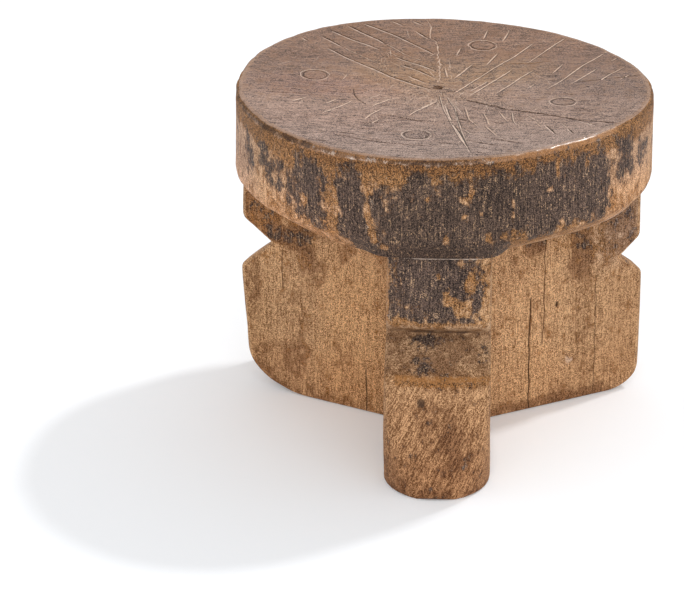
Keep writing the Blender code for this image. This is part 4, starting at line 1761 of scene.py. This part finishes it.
# The first tint is painted light that lifts the shade of the inner part
LEFT_TINTS = on_face(
    Face.LEFT,
    Tint(20, 76, 0, 120, (1.16, 1.13, 1.06)), Tint(0, 170, -20, 40, (0.93, 0.87, 0.82)),
    Tint(125, 170, 0, 100, (0.92, 0.90, 0.86)), Tint(108, 160, 118, 175, (1.12, 1.07, 1.0)),
)
LEFT_BLOTS = on_face(Face.LEFT, *blots({
    Wear.PATINA: [
        (99, 128, 118, 134, 0.85), (84, 99, 112, 138, 0.6), (112, 150, 134, 168, 0.66),
    ],
    Wear.OCHRE: [
        (80, 155, 112, 170, 0.5),
    ],
    Wear.STAIN: [
        (100, 128, 118, 133, 1.05), (94, 106, 116, 126, 0.75), (84, 96, 112, 123, 0.8),
        (76, 94, 94, 114, 0.65), (76, 102, 127, 138, 0.8), (104, 150, 126, 170, 0.7),
        (130, 150, 60, 104, 0.6), (90, 145, 5, 45, 0.35),
    ],
}))
# Drying cracks of the rear legs; the last of the right leg's is its worm hole
RIGHT_CRACKS = (
    Crack(Face.RIGHT, 66.0, 50.0, 140.0, 0.8, 1.2),
    Crack(Face.RIGHT, 54.5, 0.0, 93.0, 1.3, 1.6),
    Crack(Face.RIGHT, 110.0, 3.0, 105.0, 0.6, 0.6),
    Crack(Face.RIGHT, 77.3, 78.2, 82.2, 3.2, 3.0, 0.0),
)
LEFT_CRACKS = (
    Crack(Face.LEFT, 112.0, 82.0, 118.0, 0.8, 1.0),
    Crack(Face.LEFT, 41.0, 0.0, 40.0, 1.4, 1.6),
)


@dataclass
class Studio:
    """The pale floor, the soft light and the camera."""

    floor_size: float = 14.0
    floor_colour: Colour = (0.875, 0.90, 0.93, 1.0)
    floor_lift: float = 0.14
    sky_strength: float = 0.75
    key_direction: tuple[float, float, float] = (153.0, 124.0, 247.0)
    key_strength: float = 1.05
    key_angle_deg: float = 4.5
    fill_direction: tuple[float, float, float] = (0.15, -0.93, 0.33)
    fill_strength: float = 1.0
    fill_angle_deg: float = 80.0
    image_width: int = 684
    focal_pixels: float = 2965.0
    sensor_width: float = 36.0
    camera_place: tuple[float, float, float] = (0.0, -1.98091, 0.96042)
    camera_yaw_deg: float = -2.08
    camera_pitch_deg: float = 23.93

    def floor(self) -> bpy.types.Object:
        """Lays the floor, which keeps the shadow and which a view from below looks through.

        Returns:
            The floor's object.
        """
        half = self.floor_size / 2
        mesh = bpy.data.meshes.new("floor")
        corners = [(-half, -half, 0), (half, -half, 0), (half, half, 0), (-half, half, 0)]
        mesh.from_pydata(corners, [], [(0, 1, 2, 3)])
        material = bpy.data.materials.new("studio_floor")
        material.use_nodes = True
        bench = NodeBench(material.node_tree)
        matt = bench.node("ShaderNodeBsdfDiffuse", {"Color": self.floor_colour})
        path = bench.node("ShaderNodeLightPath")
        seen = bench.math("MAXIMUM", path.outputs["Is Camera Ray"], path.outputs["Is Glossy Ray"])
        seen = bench.math("MAXIMUM", seen, path.outputs["Is Transmission Ray"])
        lift = bench.node("ShaderNodeEmission", {"Strength": bench.times(seen, self.floor_lift)})
        above = bench.node("ShaderNodeAddShader", {0: matt.outputs[0], 1: lift.outputs[0]})
        clear = bench.node("ShaderNodeBsdfTransparent")
        under = bench.node("ShaderNodeNewGeometry").outputs["Backfacing"]
        both = bench.node("ShaderNodeMixShader", {0: under, 1: above.outputs[0], 2: clear.outputs[0]})
        bench.node("ShaderNodeOutputMaterial", {"Surface": both.outputs[0]})
        mesh.materials.append(material)
        floor = bpy.data.objects.new("floor", mesh)
        bpy.context.scene.collection.objects.link(floor)
        return floor

    def light(self) -> None:
        """Hangs the key light, the broad fill and the pale sky, which the camera sees as white."""
        lamps = (
            ("key_light", self.key_direction, self.key_strength, self.key_angle_deg),
            ("fill_light", self.fill_direction, self.fill_strength, self.fill_angle_deg),
        )
        for name, direction, strength, angle in lamps:
            lamp = bpy.data.lights.new(name, "SUN")
            lamp.energy = strength
            lamp.angle = math.radians(angle)
            hung = bpy.data.objects.new(name, lamp)
            hung.rotation_euler = Vector(direction).to_track_quat("Z", "Y").to_euler()
            bpy.context.scene.collection.objects.link(hung)
        world = bpy.data.worlds.new("studio")
        bpy.context.scene.world = world
        world.use_nodes = True
        bench = NodeBench(world.node_tree)
        path = bench.node("ShaderNodeLightPath")
        seen = bench.math("MAXIMUM", path.outputs["Is Camera Ray"], path.outputs["Is Transmission Ray"])
        strength = bench.math("MAXIMUM", seen, self.sky_strength)
        sky = bench.node("ShaderNodeBackground", {"Color": (1.0, 1.0, 1.0, 1.0), "Strength": strength})
        bench.node("ShaderNodeOutputWorld", {"Surface": sky.outputs[0]})

    def camera(self) -> bpy.types.Object:
        """Places the camera at the photograph's viewing angle.

        Returns:
            The camera's object.
        """
        lens = bpy.data.cameras.new("camera")
        lens.sensor_width = self.sensor_width
        lens.lens = self.focal_pixels / self.image_width * self.sensor_width
        eye = bpy.data.objects.new("camera", lens)
        yaw, pitch = math.radians(self.camera_yaw_deg), math.radians(self.camera_pitch_deg)
        ahead = Vector((math.sin(yaw) * math.cos(pitch), math.cos(yaw) * math.cos(pitch), -math.sin(pitch)))
        eye.location = self.camera_place
        eye.rotation_mode = "QUATERNION"
        eye.rotation_quaternion = ahead.to_track_quat("-Z", "Y")
        bpy.context.scene.collection.objects.link(eye)
        bpy.context.scene.camera = eye
        return eye


def main() -> None:
    """Builds the studio, the seat and the legs."""
    logging.basicConfig(level=logging.INFO, format="%(name)s: %(message)s")
    bpy.context.scene.view_settings.view_transform = "Standard"
    studio = Studio()
    studio.floor()
    studio.light()
    studio.camera()
    grain, ragged = grain_group(), ragged_group()
    seat_wood = AgedWood("aged_seat_wood", (0.17, 0.074, 0.030, 1.0), (0.84, 0.53, 0.31, 1.0))
    leg_wood = AgedWood("aged_leg_wood", (0.16, 0.066, 0.021, 1.0), (0.82, 0.50, 0.265, 1.0), polish=0.0)
    seat = Seat(seat_wood.build(grain, ragged))
    finish = leg_wood.build(grain, ragged)
    seat.build()
    legs = (
        Leg(
            "leg_front", finish, seat, azimuth_deg=-90.5, mitres_deg=(59.65, 58.25),
            top_reach=0.1275, upper_lip=(0.1290, 0.1205), notch=(0.114, 0.110), lower_lip=(0.146, 0.089),
            foot_reach=0.1535, toe=(0.004, 0.003), toe_corner=0.036, fixed_reach=0.100, seed=21,
            cuts=FRONT_CUTS, blots=FRONT_BLOTS, tints=FRONT_TINTS, pitch=0.0009, end_columns=90,
        ),
        Leg(
            "leg_rear_right", finish, seat, azimuth_deg=28.8, mitres_deg=(62.1, 59.65),
            top_reach=0.1485, upper_lip=(0.1500, 0.1212), notch=(0.1335, 0.1075), lower_lip=(0.1525, 0.0928),
            foot_reach=0.1530, toe=(0.028, 0.022), toe_corner=0.006, fixed_reach=0.122, seed=22,
            cracks=RIGHT_CRACKS, blots=RIGHT_BLOTS, tints=RIGHT_TINTS,
        ),
        Leg(
            "leg_rear_left", finish, seat, azimuth_deg=153.0, mitres_deg=(58.25, 62.1),
            top_reach=0.1480, upper_lip=(0.1490, 0.1340), notch=(0.1240, 0.1178), lower_lip=(0.1505, 0.0955),
            foot_reach=0.1455, toe=(0.052, 0.037), toe_corner=0.006, fixed_reach=0.1138, seed=23,
            cracks=LEFT_CRACKS, blots=LEFT_BLOTS, tints=LEFT_TINTS,
        ),
    )
    for leg in legs:
        leg.build()


if __name__ == "__main__":
    main()
